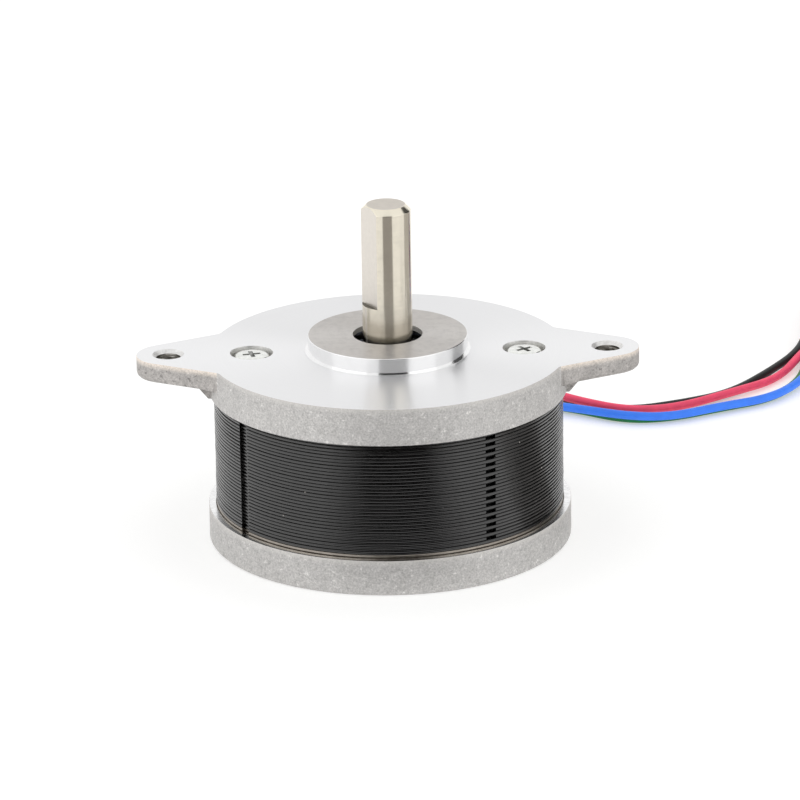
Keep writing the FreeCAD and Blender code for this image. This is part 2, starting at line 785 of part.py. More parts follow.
def make_assembly_screws():
    """Two pan-head screws with a cross recess; they pass down between the windings."""
    screws = []
    seat = "flange_top - counterbore_depth"
    for side, x in (("right", "screw_offset"), ("left", "-screw_offset")):
        body = new_body(f"{side}_screw")
        section = new_sketch(body, f"{side}_screw_section", "XZ_Plane")
        outline(section, (
            ("0", "screw_low"), ("screw_radius", "screw_low"), ("screw_radius", seat),
            ("head_radius", seat), ("head_radius", f"{seat} + head_height"), ("0", f"{seat} + head_height"),
        ))
        revolve(body, f"{side}_screw_turning", section)
        dress(body, "PartDesign::Fillet", f"{side}_screw_crown",
              rim("head_radius", f"{seat} + head_height"), "Radius", "head_round")
        for quarter in ("0", "90"):
            slot = new_sketch(body, f"{side}_cross_{quarter}_outline", lift=f"{seat} + head_height",
                              turn=f"{side}_cross_turn + {quarter}")
            rectangle(slot, "-cross_length / 2", "cross_length / 2", "-cross_width / 2", "cross_width / 2")
            pocket(body, f"{side}_cross_{quarter}", slot, "cross_depth")
        body.Placement = FreeCAD.Placement(Vector(size(x), 0, 0), FreeCAD.Rotation())
        bind(body, "Placement.Base.x", x)
        screws.append(body)
    group("assembly_screws", screws)


# each lead's lane in the grommet, the level of its turns in the coil, and its route on the floor
LEADS = {
    "black": (-1.5, 3.45, (
        (-1.65, 21.6, 2.2), (-1.19, 29.4, 1.3), (2.6, 36.6, 0.55), (9.2, 41.0, 0.45), (16.19, 40.8, 0.45),
        (21.6, 37.61, 0.56), (26.78, 34.48, 0.45), (32.01, 36.05, 0.67), (37.46, 39.39, 0.45),
        (41.21, 44.79, 0.51), (45.83, 50.72, 0.96), (47.94, 55.02, 2.27))),
    "red": (-0.5, 2.45, (
        (-0.55, 21.6, 2.2), (0.11, 28.6, 1.3), (3.9, 35.0, 0.7), (9.8, 38.9, 0.6), (15.96, 39.3, 1.0),
        (21.29, 36.49, 0.72), (26.31, 33.3, 0.64), (32.3, 34.29, 0.52), (37.25, 38.34, 0.53),
        (43.36, 43.44, 0.83), (45.9, 49.12, 1.5), (49.05, 54.88, 1.73))),
    "green": (0.5, 1.45, (
        (0.55, 21.6, 2.2), (1.51, 27.9, 1.2), (5.0, 33.3, 0.6), (10.2, 36.4, 0.45), (15.6, 36.6, 0.45),
        (20.45, 34.04, 0.45), (25.52, 30.66, 0.45), (30.87, 31.14, 0.45), (36.12, 34.07, 0.45),
        (40.97, 37.03, 0.49), (44.46, 41.96, 0.45), (46.64, 48.42, 0.49), (48.81, 54.92, 0.83))),
    "blue": (1.5, 0.45, (
        (1.65, 21.6, 2.2), (2.9, 27.2, 1.6), (6.4, 32.0, 1.2), (11.2, 34.5, 1.05), (15.97, 34.45, 0.64),
        (20.67, 32.9, 1.13), (25.56, 29.87, 0.92), (30.92, 30.23, 0.8), (36.35, 33.21, 0.84),
        (41.56, 36.28, 0.8), (44.99, 41.17, 0.81), (47.29, 47.81, 1.13), (50.28, 54.63, 0.45))),
}
COIL_ENTRY_AZIMUTH = 190.0
# points of each lead's free tail inside the coil: distance in from the turns, and angle about the middle
LEAD_TAILS = {
    "black": ((-0.3, 152), (2.5, 120), (5.2, 84)),
    "red": ((-0.3, 140), (1.9, 108), (4.1, 72)),
    "green": ((-0.3, 128), (1.3, 98), (3.0, 64)),
    "blue": ((-0.3, 116), (0.6, 88), (2.0, 56)),
}


def coil_point(radius, azimuth, level):
    """A point at a radius and an angle about the middle of the put-away coil."""
    turn = math.radians(azimuth)
    return Vector(size("coil_x") + radius * math.cos(turn), size("coil_y") + radius * math.sin(turn), level)


def lead_tube(label, points):
    """A round tube along straight runs, with each corner an arc as large as its two runs allow."""
    runs = [following - spot for spot, following in zip(points, points[1:])]
    edges = []
    radii = []
    last = points[0]
    for corner, run_in, run_out in zip(points[1:], runs, runs[1:]):
        turn = run_in.getAngle(run_out)
        short = ARC_SHARE * min(run_in.Length, run_out.Length)
        radii.append(short / math.tan(turn / 2))
        way_in = Vector(run_in).normalize()
        way_out = Vector(run_out).normalize()
        begin = corner - way_in * short
        finish = corner + way_out * short
        inwards = (way_out - way_in).normalize()
        to_centre = math.hypot(radii[-1], short)
        middle = corner + inwards * (to_centre - radii[-1])
        edges.append(Part.LineSegment(last, begin).toShape())
        edges.append(Part.Arc(begin, middle, finish).toShape())
        last = finish
    edges.append(Part.LineSegment(last, points[-1]).toShape())
    path = Part.Wire(edges)
    radius = size("lead_diameter") / 2
    section = Part.Wire([Part.Circle(points[0], runs[0], radius).toShape()])
    tube = path.makePipeShell([section], True, True)
    ratio = tube.Volume / (math.pi * radius ** 2 * path.Length)
    print(f"{label}: length {path.Length:.1f}, least radius {min(radii):.1f}, volume ratio {ratio:.4f}")
    if abs(ratio - 1) > 0.01:
        raise RuntimeError(f"{label} has the wrong volume")
    return tube


def make_leads():
    tips = []
    for colour, (lane, level, floor_points) in LEADS.items():
        start = Vector(lane * size("lead_pitch"), size("lead_start"), size("lead_height"))
        entry_radius = size("coil_outer - lead_diameter / 2 - coil_lead_inset")
        entry = coil_point(entry_radius, COIL_ENTRY_AZIMUTH, level)
        route = [start] + [Vector(*spot) for spot in floor_points] + [entry]
        floor_level = size("lead_diameter / 2")
        tail_levels = (level, floor_level, floor_level)
        tail = [coil_point(size("coil_inner") - inset, azimuth, tail_level)
                for (inset, azimuth), tail_level in zip(LEAD_TAILS[colour], tail_levels)]
        lead = doc.addObject("Part::Feature", f"{colour}_lead")
        tubes = [lead_tube(f"{colour} lead", route), lead_tube(f"{colour} tail", tail)]
        lead.Shape = Part.makeCompound(tubes)
        keep(lead, f"{colour}_lead")

        tip = doc.addObject("Part::Cylinder", f"{colour}_tip")
        bind(tip, "Radius", "tip_diameter / 2")
        bind(tip, "Height", "tip_length")
        heading = tail[-1] - tail[-2]
        level_heading = Vector(heading.x, heading.y, 0)
        tip.Placement = FreeCAD.Placement(tail[-1], FreeCAD.Rotation(UP, level_heading))
        tips.append(tip)
    group("lead_tips", tips)


def make_lead_grommet():
    body = new_body("lead_grommet")
    plug = new_sketch(body, "grommet_outline", "XZ_Plane", lift="-grommet_inner")
    rectangle(plug, "-grommet_width / 2", "grommet_width / 2", "rear_wall", "stack_low")
    pad(body, "grommet_plug", plug, "cover_radius - grommet_inner + grommet_lip_depth / 2", reverse=True)
    lip = new_sketch(body, "grommet_lip_outline", "YZ_Plane")
    rectangle(lip, "cover_radius", "cover_radius + grommet_lip_depth", "grommet_lip_low", "grommet_lip_top")
    collar = revolve(body, "grommet_lip", lip)
    collar.Midplane = True
    bind(collar, "Angle", "grommet_lip_width")
    doc.recompute()
    holes = new_sketch(body, "lead_hole_outline", "XZ_Plane")
    for lane, _, _ in LEADS.values():
        circle(holes, "lead_diameter / 2", f"{lane} * lead_pitch", "lead_height")
    pocket(body, "lead_holes", holes, "cover_radius + cut_margin")
    keep(body, "lead_grommet")


def make_put_away_coil():
    """The outer shape of the leads' coiled length, drawn in where its tie holds it."""
    spot = FreeCAD.Placement(Vector(size("coil_x"), size("coil_y"), 0), FreeCAD.Rotation())
    tie = new_body("coil_tie")
    band = new_sketch(tie, "tie_outline", "XZ_Plane")
    rectangle(band, "coil_inner - tie_thickness", "coil_outer + tie_thickness", "0", "coil_height")
    rectangle(band, "coil_inner", "coil_outer", "tie_thickness", "coil_height - tie_thickness")
    pad(tie, "tie_band", band, "tie_width", midplane=True)
    head = new_sketch(tie, "tie_head_outline", "XZ_Plane")
    rectangle(head, "coil_outer + tie_thickness", "coil_outer + tie_thickness + tie_head_depth",
              "(coil_height - tie_head) / 2", "(coil_height + tie_head) / 2")
    pad(tie, "tie_head_block", head, "tie_head", midplane=True)

    whole = new_body("whole_coil")
    section = new_sketch(whole, "coil_section", "XZ_Plane")
    rectangle(section, "coil_inner", "coil_outer", "0", "coil_height")
    revolve(whole, "coil_turning", section)
    for body in (tie, whole):
        body.Placement = spot
        bind(body, "Placement.Base.x", "coil_x")
        bind(body, "Placement.Base.y", "coil_y")
    keep(tie, "coil_tie")
    drawn_in = doc.addObject("Part::Cut", "lead_coil")
    drawn_in.Base = whole
    drawn_in.Tool = tie
    doc.recompute()
    keep(drawn_in, "lead_coil")


def export_parts():
    """Write every sub-part to its own file once the whole document is sound."""
    doc.recompute()
    failed = [item.Name for item in doc.Objects if {"Invalid", "Error"} & set(item.State)]
    if failed:
        raise RuntimeError(f"not computed: {failed}")
    for item in sub_parts:
        if item.Shape.isNull() or not item.Shape.isValid():
            raise RuntimeError(f"{item.Label} has no sound shape")
    os.makedirs("parts", exist_ok=True)
    for item in sub_parts:
        item.Shape.exportStep(f"parts/{item.Label}.step")
    print(f"{len(sub_parts)} sub-parts written")


make_front_flange()
make_rear_cover()
make_stator_stack()
make_insulator("front_insulator", STACK_TOP, False)
make_insulator("rear_insulator", "stack_low", True)
make_windings()
make_rotor()
make_bearing("front", "front_bearing_low")
make_bearing("rear", "rear_bearing_low")
make_wave_washer()
make_assembly_screws()
make_lead_grommet()
make_leads()
make_put_away_coil()
export_parts()
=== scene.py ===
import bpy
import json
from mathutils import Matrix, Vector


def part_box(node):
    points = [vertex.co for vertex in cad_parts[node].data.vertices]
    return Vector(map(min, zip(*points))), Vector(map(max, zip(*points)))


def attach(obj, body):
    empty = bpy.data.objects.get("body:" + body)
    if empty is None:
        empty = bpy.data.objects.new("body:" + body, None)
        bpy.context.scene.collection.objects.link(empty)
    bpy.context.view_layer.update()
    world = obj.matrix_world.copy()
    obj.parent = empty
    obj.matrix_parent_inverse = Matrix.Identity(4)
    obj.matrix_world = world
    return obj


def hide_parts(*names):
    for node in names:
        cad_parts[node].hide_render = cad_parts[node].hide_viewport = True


bl_info = {
    "name": "Round stepper motor",
    "version": (1, 0, 0),
    "blender": (4, 5, 0),
    "location": "3D View > Sidebar > Motor",
    "description": "Finishes a round pancake stepper motor with loose leads over its fixed frame",
    "category": "Object",
}

import json
import math

import bmesh
import bpy
from mathutils import Matrix, Vector

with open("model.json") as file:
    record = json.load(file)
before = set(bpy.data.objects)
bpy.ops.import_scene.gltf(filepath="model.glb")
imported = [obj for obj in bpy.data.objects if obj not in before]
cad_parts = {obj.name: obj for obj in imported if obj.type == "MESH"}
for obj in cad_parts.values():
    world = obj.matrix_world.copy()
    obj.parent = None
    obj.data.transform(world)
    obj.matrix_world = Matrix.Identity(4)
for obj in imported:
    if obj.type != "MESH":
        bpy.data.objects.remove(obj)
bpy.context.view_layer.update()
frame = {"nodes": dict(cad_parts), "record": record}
MM = 0.001
NEAR = 0.01 * MM
SAME_POINT = 0.001 * MM
FLAT_WITHIN = math.radians(0.5)
SHARP_ABOVE = math.radians(35)
EASED_ABOVE = math.radians(40)
WIDEST_EASE = 0.5 * MM
EASE_STEPS = 3
WHITE = (1, 1, 1, 1)
BLACK = (0, 0, 0, 1)
MOUNTS = {mount["name"]: mount for mount in frame["record"]["mounts"]}
FACE_LEVEL = MOUNTS["front_face"]["pos_m"][2]


def linear(code):
    """An sRGB hex colour as linear red, green and blue."""
    parts = [int(code[i:i + 2], 16) / 255 for i in (0, 2, 4)]
    return tuple(p / 12.92 if p <= 0.04045 else ((p + 0.055) / 1.055) ** 2.4 for p in parts)


def colour(name, code, description):
    """A colour setting, with its default as an sRGB hex value."""
    return bpy.props.FloatVectorProperty(
        name=name, description=description, subtype="COLOR", size=3, min=0, max=1, default=linear(code))


def length(name, millimetres, description):
    """A length setting."""
    return bpy.props.FloatProperty(
        name=name, description=description, subtype="DISTANCE", unit="LENGTH", min=0, precision=5,
        default=millimetres * MM)


def angle(name, degrees, description):
    """An angle setting."""
    return bpy.props.FloatProperty(
        name=name, description=description, subtype="ANGLE", default=math.radians(degrees))


def how_many(name, number, description, least=0):
    """A setting that counts pieces."""
    return bpy.props.IntProperty(name=name, description=description, min=least, default=number)


class MotorSizes(bpy.types.PropertyGroup):
    """Sizes of what is modelled here and not taken from the frame."""
    edge_ease: length("Edge ease", 0.1, "Width of the eased edges of cast and turned pieces")
    ear_round: length("Ear round", 0.5, "Round along the lower edges of the mounting ears")
    thread_pitch: length("Thread pitch", 0.5, "Pitch of the threads in the ears' holes")
    thread_depth: length("Thread depth", 0.25, "Depth of the threads in the ears' holes")
    sheet_count: how_many("Sheets", 36, "Sheets in the stator stack", 2)
    bare_count: how_many("Bare sheets", 2, "Unvarnished sheets at the bottom")
    first_notched: how_many("First notched sheet", 3, "Sheets below this one have no notch")
    sheet_roll: length("Sheet roll", 0.17, "How high a sheet's lower edge is rolled in by the punch")
    sheet_roll_depth: length("Sheet roll depth", 0.1, "How deep a sheet's lower edge is rolled in")
    sheet_burr: length("Sheet burr", 0.05, "How far a sheet's upper edge is rubbed down")
    sheet_spread: bpy.props.FloatProperty(
        name="Sheet spread", description="How much the sheets differ in diameter", default=0.002, min=0)
    yoke_inner: length("Yoke inside", 15.3, "Inner radius of the sheets' outer ring")
    neck_half: length("Pole neck", 1.6, "Half the width of a pole's neck")
    shoe_outer: length("Shoe outside", 10.9, "Outer radius of the pole shoes")
    shoe_inner: length("Shoe inside", 9.85, "Radius at the roots of the pole's teeth")
    tooth_tip: length("Tooth tip", 9.35, "Radius at the tips of the pole's teeth")
    notch_width: length("Notch width", 1.2, "Width of the notches in the sheets' rims")
    notch_depth: length("Notch depth", 0.4, "Depth of the notches in the sheets' rims")
    groove_depth: length("Groove depth", 0.26, "Depth of the grooves that run through all the sheets")
    screw_offset: length("Screw offset", 13.65, "From the shaft's axis to each assembly screw")
    shank_radius: length("Screw shank", 1.0, "Radius of a screw's shank")
    head_radius: length("Screw head", 1.8, "Radius of a screw's head")
    head_height: length("Head height", 1.0, "Height of a screw's head")
    left_turn: angle("Left recess turn", 12, "Turn of the left screw's cross recess")
    right_turn: angle("Right recess turn", 34, "Turn of the right screw's cross recess")
    lead_diameter: length("Lead", 0.9, "Outer diameter of a lead's insulation")
    lead_length: length("Lead length", 300, "Whole length of each lead")
    strand_diameter: length("Strand", 0.17, "Diameter of one tinned strand")
    tip_length: length("Bare tip", 4.0, "Stripped and tinned length at a lead's end")


class MotorColours(bpy.types.PropertyGroup):
    """Colours of the finishes."""
    turned_face: colour("Turned face", "F0F0F1", "Turned face of the flange")
    pilot_side: colour("Pilot side", "FCFCFC", "Turned side of the pilot")
    pilot_top: colour("Pilot top", "CAC6C2", "Faced end of the pilot")
    casting: colour("Casting", "BEBCBA", "Blasted die casting of the flange")
    ear_casting: colour("Ear casting", "B1ADAA", "Handled casting at the ears' sides")
    cover_casting: colour("Cover casting", "BCBAB8", "Blasted die casting of the cover")
    rubbed: colour("Rubbed edge", "D3D0CC", "Casting where its top edge is rubbed")
    rubbed_ear: colour("Rubbed ear", "FBEFE2", "Casting where the ears' top edge is rubbed")
    shaft: colour("Shaft", "DCD5C6", "Ground shaft steel")
    shaft_flat: colour("Shaft flat", "DCD6CE", "Milled flat of the shaft")
    shaft_chamfer: colour("Shaft chamfer", "F0E9D8", "Turned chamfer of the shaft")
    shaft_end: colour("Shaft end", "CFC8BE", "Faced end of the shaft")
    varnish: colour("Varnish", "080707", "Varnished edges of the sheets")
    bare_sheet: colour("Bare sheet", "A29B92", "Unvarnished bottom sheets")
    screw: colour("Screws", "F3F4F0", "Zinc plated assembly screws")
    black_lead: colour("Black lead", "08080A", "Insulation of the black lead")
    red_lead: colour("Red lead", "F9486D", "Insulation of the red lead")
    green_lead: colour("Green lead", "047A3C", "Insulation of the green lead")
    blue_lead: colour("Blue lead", "3580FF", "Insulation of the blue lead")


class StageSettings(bpy.types.PropertyGroup):
    """The camera's place and the studio."""
    azimuth: angle("Azimuth", -0.8452, "Camera's turn about the motor")
    elevation: angle("Elevation", 19.3835, "Camera's angle above the horizon")
    roll: angle("Roll", -0.8465, "Camera's turn about its own view")
    distance: length("Distance", 555.8005, "From the camera to the point that it looks at")
    target: bpy.props.FloatVectorProperty(
        name="Target", description="Point that the camera looks at", subtype="TRANSLATION",
        default=(0.0011423, -0.0000169, 0.013961))
    lens: bpy.props.FloatProperty(
        name="Lens", description="Focal length on a 36 mm sensor", subtype="DISTANCE_CAMERA",
        default=248.893)


def settings():
    """The sizes and the colours that the scene holds."""
    return bpy.context.scene.motor_sizes, bpy.context.scene.motor_colours


def add(tree, kind, inputs=None, stops=(), **values):
    """Add a node with its settings and colour stops, and fill its inputs."""
    node = tree.nodes.new(kind)
    for name, value in values.items():
        setattr(node, name, value)
    for index, (place, tone) in enumerate(stops):
        node.color_ramp.elements[index].position = place
        node.color_ramp.elements[index].color = tone
    fill(tree, node, inputs or {})
    return node


def fill(tree, node, inputs):
    """Set each input, or link it from a socket or from another node's first output."""
    for name, value in inputs.items():
        if isinstance(name, int):
            socket = node.inputs[name]
        else:
            socket = next(s for s in node.inputs if s.enabled and s.name == name)
        if isinstance(value, bpy.types.Node):
            value = next(s for s in value.outputs if s.enabled)
        if isinstance(value, bpy.types.NodeSocket):
            tree.links.new(value, socket)
        else:
            socket.default_value = value


def material(name):
    """A new material, its tree and its main shader."""
    made = bpy.data.materials.new(name)
    made.use_nodes = True
    return made, made.node_tree, made.node_tree.nodes["Principled BSDF"]


def rgba(value):
    """A colour with full cover."""
    return (*value, 1.0)


def per(millimetres):
    """Texture scale that repeats once in a real size."""
    return 1 / (millimetres * MM)


def shades(base, darker, lighter):
    """Two tones either side of a colour."""
    return rgba([c * darker for c in base]), rgba([min(1, c * lighter) for c in base])


def turned_metal(name, base, roughness, ring, spread, haze=0.0, stain=1.0, uneven=0.01):
    # turned or ground: rings about the axis, too fine to see singly, draw each reflection out across them
    # and keep it sharp along them, so upright shapes nearby show as clear-edged bands under a matt haze; the
    # real feed of about 0.08 mm is drawn coarser so that it shows, with faint stains from handling over it
    made, tree, shader = material(name)
    place = add(tree, "ShaderNodeTexCoord").outputs["Object"]
    parts = add(tree, "ShaderNodeSeparateXYZ", {"Vector": place}).outputs
    outward = add(tree, "ShaderNodeCombineXYZ", {"X": parts["X"], "Y": parts["Y"]})
    radius = add(tree, "ShaderNodeVectorMath", {0: outward}, operation="LENGTH").outputs["Value"]
    across = add(tree, "ShaderNodeMath", {0: radius, 1: parts["Z"]}, operation="ADD")
    around = add(tree, "ShaderNodeVectorMath", {0: (0.0, 0.0, 1.0), 1: place}, operation="CROSS_PRODUCT")
    feed = add(tree, "ShaderNodeTexNoise", {
        "W": across, "Scale": per(ring), "Detail": 3.0}, noise_dimensions="1D")
    handling = add(tree, "ShaderNodeTexNoise", {
        "Vector": place, "Scale": per(1.0), "Detail": 6.0, "Roughness": 0.65})
    dark, light = shades(base, 1 - uneven, 1 + uneven * 0.6)
    rings = add(tree, "ShaderNodeValToRGB", {"Fac": feed}, stops=((0.3, dark), (0.7, light)))
    stains = add(tree, "ShaderNodeValToRGB", {"Fac": handling},
                 stops=((0.3, rgba([stain] * 3)), (0.55, WHITE)))
    fill(tree, shader, {
        "Base Color": add(tree, "ShaderNodeMix", {"Factor": 1.0, "A": rings, "B": stains},
                          data_type="RGBA", blend_type="MULTIPLY"),
        "Metallic": 1 - haze,
        "Roughness": add(tree, "ShaderNodeMapRange", {
            "Value": feed, "To Min": roughness * 0.85, "To Max": roughness * 1.15}),
        "Anisotropic": spread,
        "Anisotropic Rotation": 0.25,
        "Tangent": add(tree, "ShaderNodeVectorTransform", {"Vector": around}, vector_type="VECTOR",
                       convert_from="OBJECT", convert_to="WORLD"),
        "Normal": add(tree, "ShaderNodeBump", {"Height": feed, "Distance": 0.001 * MM, "Strength": 0.03}),
    })
    return made


def blasted_casting(name, base, rubbed, worn_level, patch, pitted):
    # die-cast aluminium, blasted: a matt oxidised grey of fine bright and dark grains under larger faint
    # clouds, with small dark pits and bright specks that are painted glints, rubbed lighter along its top
    # edge
    made, tree, shader = material(name)
    place = add(tree, "ShaderNodeTexCoord").outputs["Object"]
    level = add(tree, "ShaderNodeSeparateXYZ", {"Vector": place}).outputs["Z"]
    grains, clouds, pits = [
        add(tree, "ShaderNodeTexNoise", {
            "Vector": place, "Scale": per(size), "Detail": detail, "Roughness": fineness})
        for size, detail, fineness in ((0.18, 5.0, 0.7), (1.3, 4.0, 0.6), (0.5, 3.0, 0.7))]
    dark, light = shades(base, 0.76, 1.4)
    pit_tone, glint_tone = shades(base, 0.3, 1.9)
    skin = add(tree, "ShaderNodeValToRGB", {"Fac": grains}, stops=((0.32, dark), (0.7, light)))
    cloud = add(tree, "ShaderNodeValToRGB", {"Fac": clouds},
                stops=((0.36, rgba([patch] * 3)), (0.6, WHITE)))
    clouded = add(tree, "ShaderNodeMix", {"Factor": 1.0, "A": skin, "B": cloud},
                  data_type="RGBA", blend_type="MULTIPLY")
    pit = add(tree, "ShaderNodeMapRange", {
        "Value": pits, "From Min": 0.56, "From Max": 0.7, "To Max": pitted})
    marked = add(tree, "ShaderNodeMix", {"Factor": pit, "A": clouded, "B": pit_tone}, data_type="RGBA")
    # painted glints: bright specks of the base colour at 1.9 times its tone
    glint = add(tree, "ShaderNodeMapRange", {
        "Value": pits, "From Min": 0.4, "From Max": 0.28, "To Max": 0.6})
    glinted = add(tree, "ShaderNodeMix", {"Factor": glint, "A": marked, "B": glint_tone}, data_type="RGBA")
    near_edge = add(tree, "ShaderNodeMapRange", {
        "Value": level, "From Min": worn_level - 0.6 * MM, "From Max": worn_level - 0.05 * MM,
        "To Max": 1.5})
    rub = add(tree, "ShaderNodeMath", {0: near_edge, 1: grains}, operation="MULTIPLY")
    fill(tree, shader, {
        "Base Color": add(tree, "ShaderNodeMix", {
            "Factor": rub, "A": glinted, "B": rgba(rubbed)}, data_type="RGBA"),
        "Metallic": 0.4,
        "Roughness": add(tree, "ShaderNodeMapRange", {"Value": grains, "To Min": 0.5, "To Max": 0.68}),
        "Normal": add(tree, "ShaderNodeBump", {"Height": grains, "Distance": 0.03 * MM, "Strength": 0.45}),
    })
    return made


def varnished_sheet_edges(base):
    # punched electrical steel dipped in black varnish: a dim gloss that pales towards the limbs, a few chips
    # where the steel shows, and slight waves from how the varnish ran
    made, tree, shader = material("varnished_sheet_edges")
    place = add(tree, "ShaderNodeTexCoord").outputs["Object"]
    cells = add(tree, "ShaderNodeTexVoronoi", {"Vector": place, "Scale": per(1.5)}).outputs
    chip = add(tree, "ShaderNodeValToRGB", {"Fac": cells["Distance"]}, stops=((0.03, WHITE), (0.07, BLACK)))
    few = add(tree, "ShaderNodeValToRGB", {"Fac": cells["Color"]}, stops=((0.6, BLACK), (0.7, WHITE)))
    bare = add(tree, "ShaderNodeMath", {0: chip, 1: few}, operation="MULTIPLY")
    along = add(tree, "ShaderNodeVectorMath", {0: place, 1: (1.0, 1.0, 6.0)}, operation="MULTIPLY")
    runs = add(tree, "ShaderNodeTexNoise", {
        "Vector": along, "Scale": per(1.2), "Detail": 5.0, "Roughness": 0.65})
    dark, light = shades(base, 0.5, 3.0)
    coat = add(tree, "ShaderNodeValToRGB", {"Fac": runs}, stops=((0.4, dark), (0.7, light)))
    fill(tree, shader, {
        "Base Color": add(tree, "ShaderNodeMix", {"Factor": bare, "A": coat, "B": rgba(linear("A8A39D"))},
                          data_type="RGBA"),
        "Roughness": add(tree, "ShaderNodeMapRange", {"Value": runs, "To Min": 0.08, "To Max": 0.3}),
        "IOR": 1.75,
        "Normal": add(tree, "ShaderNodeBump", {"Height": runs, "Distance": 0.02 * MM, "Strength": 0.3}),
    })
    return made


def uneven_skin(name, base, size, detail, tones, depth, strength, surface):
    """A material whose tone and height vary together over a real size."""
    made, tree, shader = material(name)
    place = add(tree, "ShaderNodeTexCoord").outputs["Object"]
    skin = add(tree, "ShaderNodeTexNoise", {"Vector": place, "Scale": per(size), "Detail": detail})
    dark, light = shades(base, *tones)
    fill(tree, shader, {
        "Base Color": add(tree, "ShaderNodeValToRGB", {"Fac": skin}, stops=((0.3, dark), (0.7, light))),
        "Normal": add(tree, "ShaderNodeBump", {
            "Height": skin, "Distance": depth * MM, "Strength": strength}),
        **surface,
    })
    return made


def lead_insulation(name, base):
    # extruded PVC: even saturated colour, soft gloss, and slight waves along the wall
    return uneven_skin(name, base, size=1.2, detail=3.0, tones=(0.9, 1.08), depth=0.03, strength=0.2,
                       surface={"Roughness": 0.48, "IOR": 1.48})


def moulded(name, code, roughness, size, ior=1.5):
    # moulded plastic or rubber: a faint texture from the tool
    return uneven_skin(name, linear(code), size, detail=3.0, tones=(0.88, 1.06), depth=0.02, strength=0.25,
                       surface={"Roughness": roughness, "IOR": ior})


def worked_metal(name, base, roughness, size, uneven=0.15):
    # pressed, cut or plated small metal pieces: faint clouds of tone and a fine uneven skin
    return uneven_skin(name, base, size, detail=4.0, tones=(1 - uneven, 1 + uneven * 0.4), depth=0.01,
                       strength=uneven, surface={"Metallic": 1.0, "Roughness": roughness})


def enamelled_copper():
    # wound enamelled wire: rows of round turns under a clear amber coat; real turns are about 0.3 mm apart,
    # and they are drawn coarser, about 1.9 mm apart
    made, tree, shader = material("enamelled_copper")
    place = add(tree, "ShaderNodeTexCoord").outputs["Object"]
    turns = add(tree, "ShaderNodeTexWave", {"Vector": place, "Scale": per(0.3) / 20, "Distortion": 0.6},
                wave_type="RINGS", rings_direction="Z").outputs["Fac"]
    dark, light = shades(linear("B0623A"), 0.55, 1.1)
    fill(tree, shader, {
        "Base Color": add(tree, "ShaderNodeValToRGB", {"Fac": turns}, stops=((0.1, dark), (0.8, light))),
        "Metallic": 1.0,
        "Roughness": 0.32,
        "Coat Weight": 0.6,
        "Normal": add(tree, "ShaderNodeBump", {"Height": turns, "Distance": 0.08 * MM, "Strength": 0.6}),
    })
    return made


def show(name, data):
    """Put a mesh, curve, light or camera in the scene as an object at the origin."""
    made = bpy.data.objects.new(name, data)
    bpy.context.scene.collection.objects.link(made)
    return made


def from_shape(name, shape):
    """Put a finished shape in the scene as an object of its own."""
    mesh = bpy.data.meshes.new(name)
    shape.to_mesh(mesh)
    shape.free()
    return show(name, mesh)


def ring_edges(shape, ring):
    """The edges between the corners of a closed ring."""
    return [shape.edges.get((a, b)) for a, b in zip(ring, ring[1:] + ring[:1])]


def wall(shape, lower, upper, outward=True):
    """Join two rings of corners by a band of faces that look away from their middle or towards it."""
    count = len(lower)
    for i in range(count):
        j = (i + 1) % count
        corners = (lower[i], lower[j], upper[j], upper[i])
        shape.faces.new(corners if outward else corners[::-1])


def plain_mesh(made):
    """The evaluated object as a plain mesh, with its modifiers removed."""
    graph = bpy.context.evaluated_depsgraph_get()
    mesh = bpy.data.meshes.new_from_object(made.evaluated_get(graph))
    mesh.name = made.name
    made.modifiers.clear()
    made.data = mesh
    return made


def smooth(made):
    """Shade a mesh smoothly, apart from its real edges."""
    made.data.shade_smooth()
    made.data.set_sharp_from_angle(angle=SHARP_ABOVE)


def merged_copy(node):
    """A CAD node's mesh with its loose triangles joined into whole faces."""
    shape = bmesh.new()
    source = frame["nodes"][node].data
    corners = [shape.verts.new(v.co) for v in source.vertices]
    for face in source.polygons:
        shape.faces.new([corners[i] for i in face.vertices])
    bmesh.ops.remove_doubles(shape, verts=shape.verts, dist=SAME_POINT)
    bmesh.ops.dissolve_limit(shape, angle_limit=FLAT_WITHIN, verts=shape.verts, edges=shape.edges)
    return shape


def eased(shape, name, ease):
    """An object of a shape, each outer corner eased by the width that ease gives for the edge's middle."""
    weight = shape.edges.layers.float.new("bevel_weight_edge")
    for edge in shape.edges:
        if len(edge.link_faces) == 2 and edge.calc_face_angle_signed() > EASED_ABOVE:
            edge[weight] = min(1, ease((edge.verts[0].co + edge.verts[1].co) / 2) / WIDEST_EASE)
    made = from_shape(name, shape)
    bevel = made.modifiers.new("eased_edges", "BEVEL")
    bevel.width = WIDEST_EASE
    bevel.segments = EASE_STEPS
    bevel.limit_method = "WEIGHT"
    bevel.use_clamp_overlap = False
    plain_mesh(made)
    smooth(made)
    made.modifiers.new("flat_faces", "WEIGHTED_NORMAL").keep_sharp = True
    return plain_mesh(made)


def dress(made, finishes, choose=None):
    """Give a piece its finishes, and each face the one that a test of its middle and normal chooses."""
    made.data.materials.clear()
    for finish in finishes:
        made.data.materials.append(finish)
    if choose:
        for face in made.data.polygons:
            face.material_index = choose(face.center, face.normal)


def new_tree(name, sockets):
    """A geometry tree with inputs of the named kinds, and the sockets that give them."""
    tree = bpy.data.node_groups.new(name, "GeometryNodeTree")
    for label, kind in sockets.items():
        tree.interface.new_socket(label, in_out="INPUT", socket_type=f"NodeSocket{kind}")
    tree.interface.new_socket("Geometry", in_out="OUTPUT", socket_type="NodeSocketGeometry")
    return tree, add(tree, "NodeGroupInput").outputs


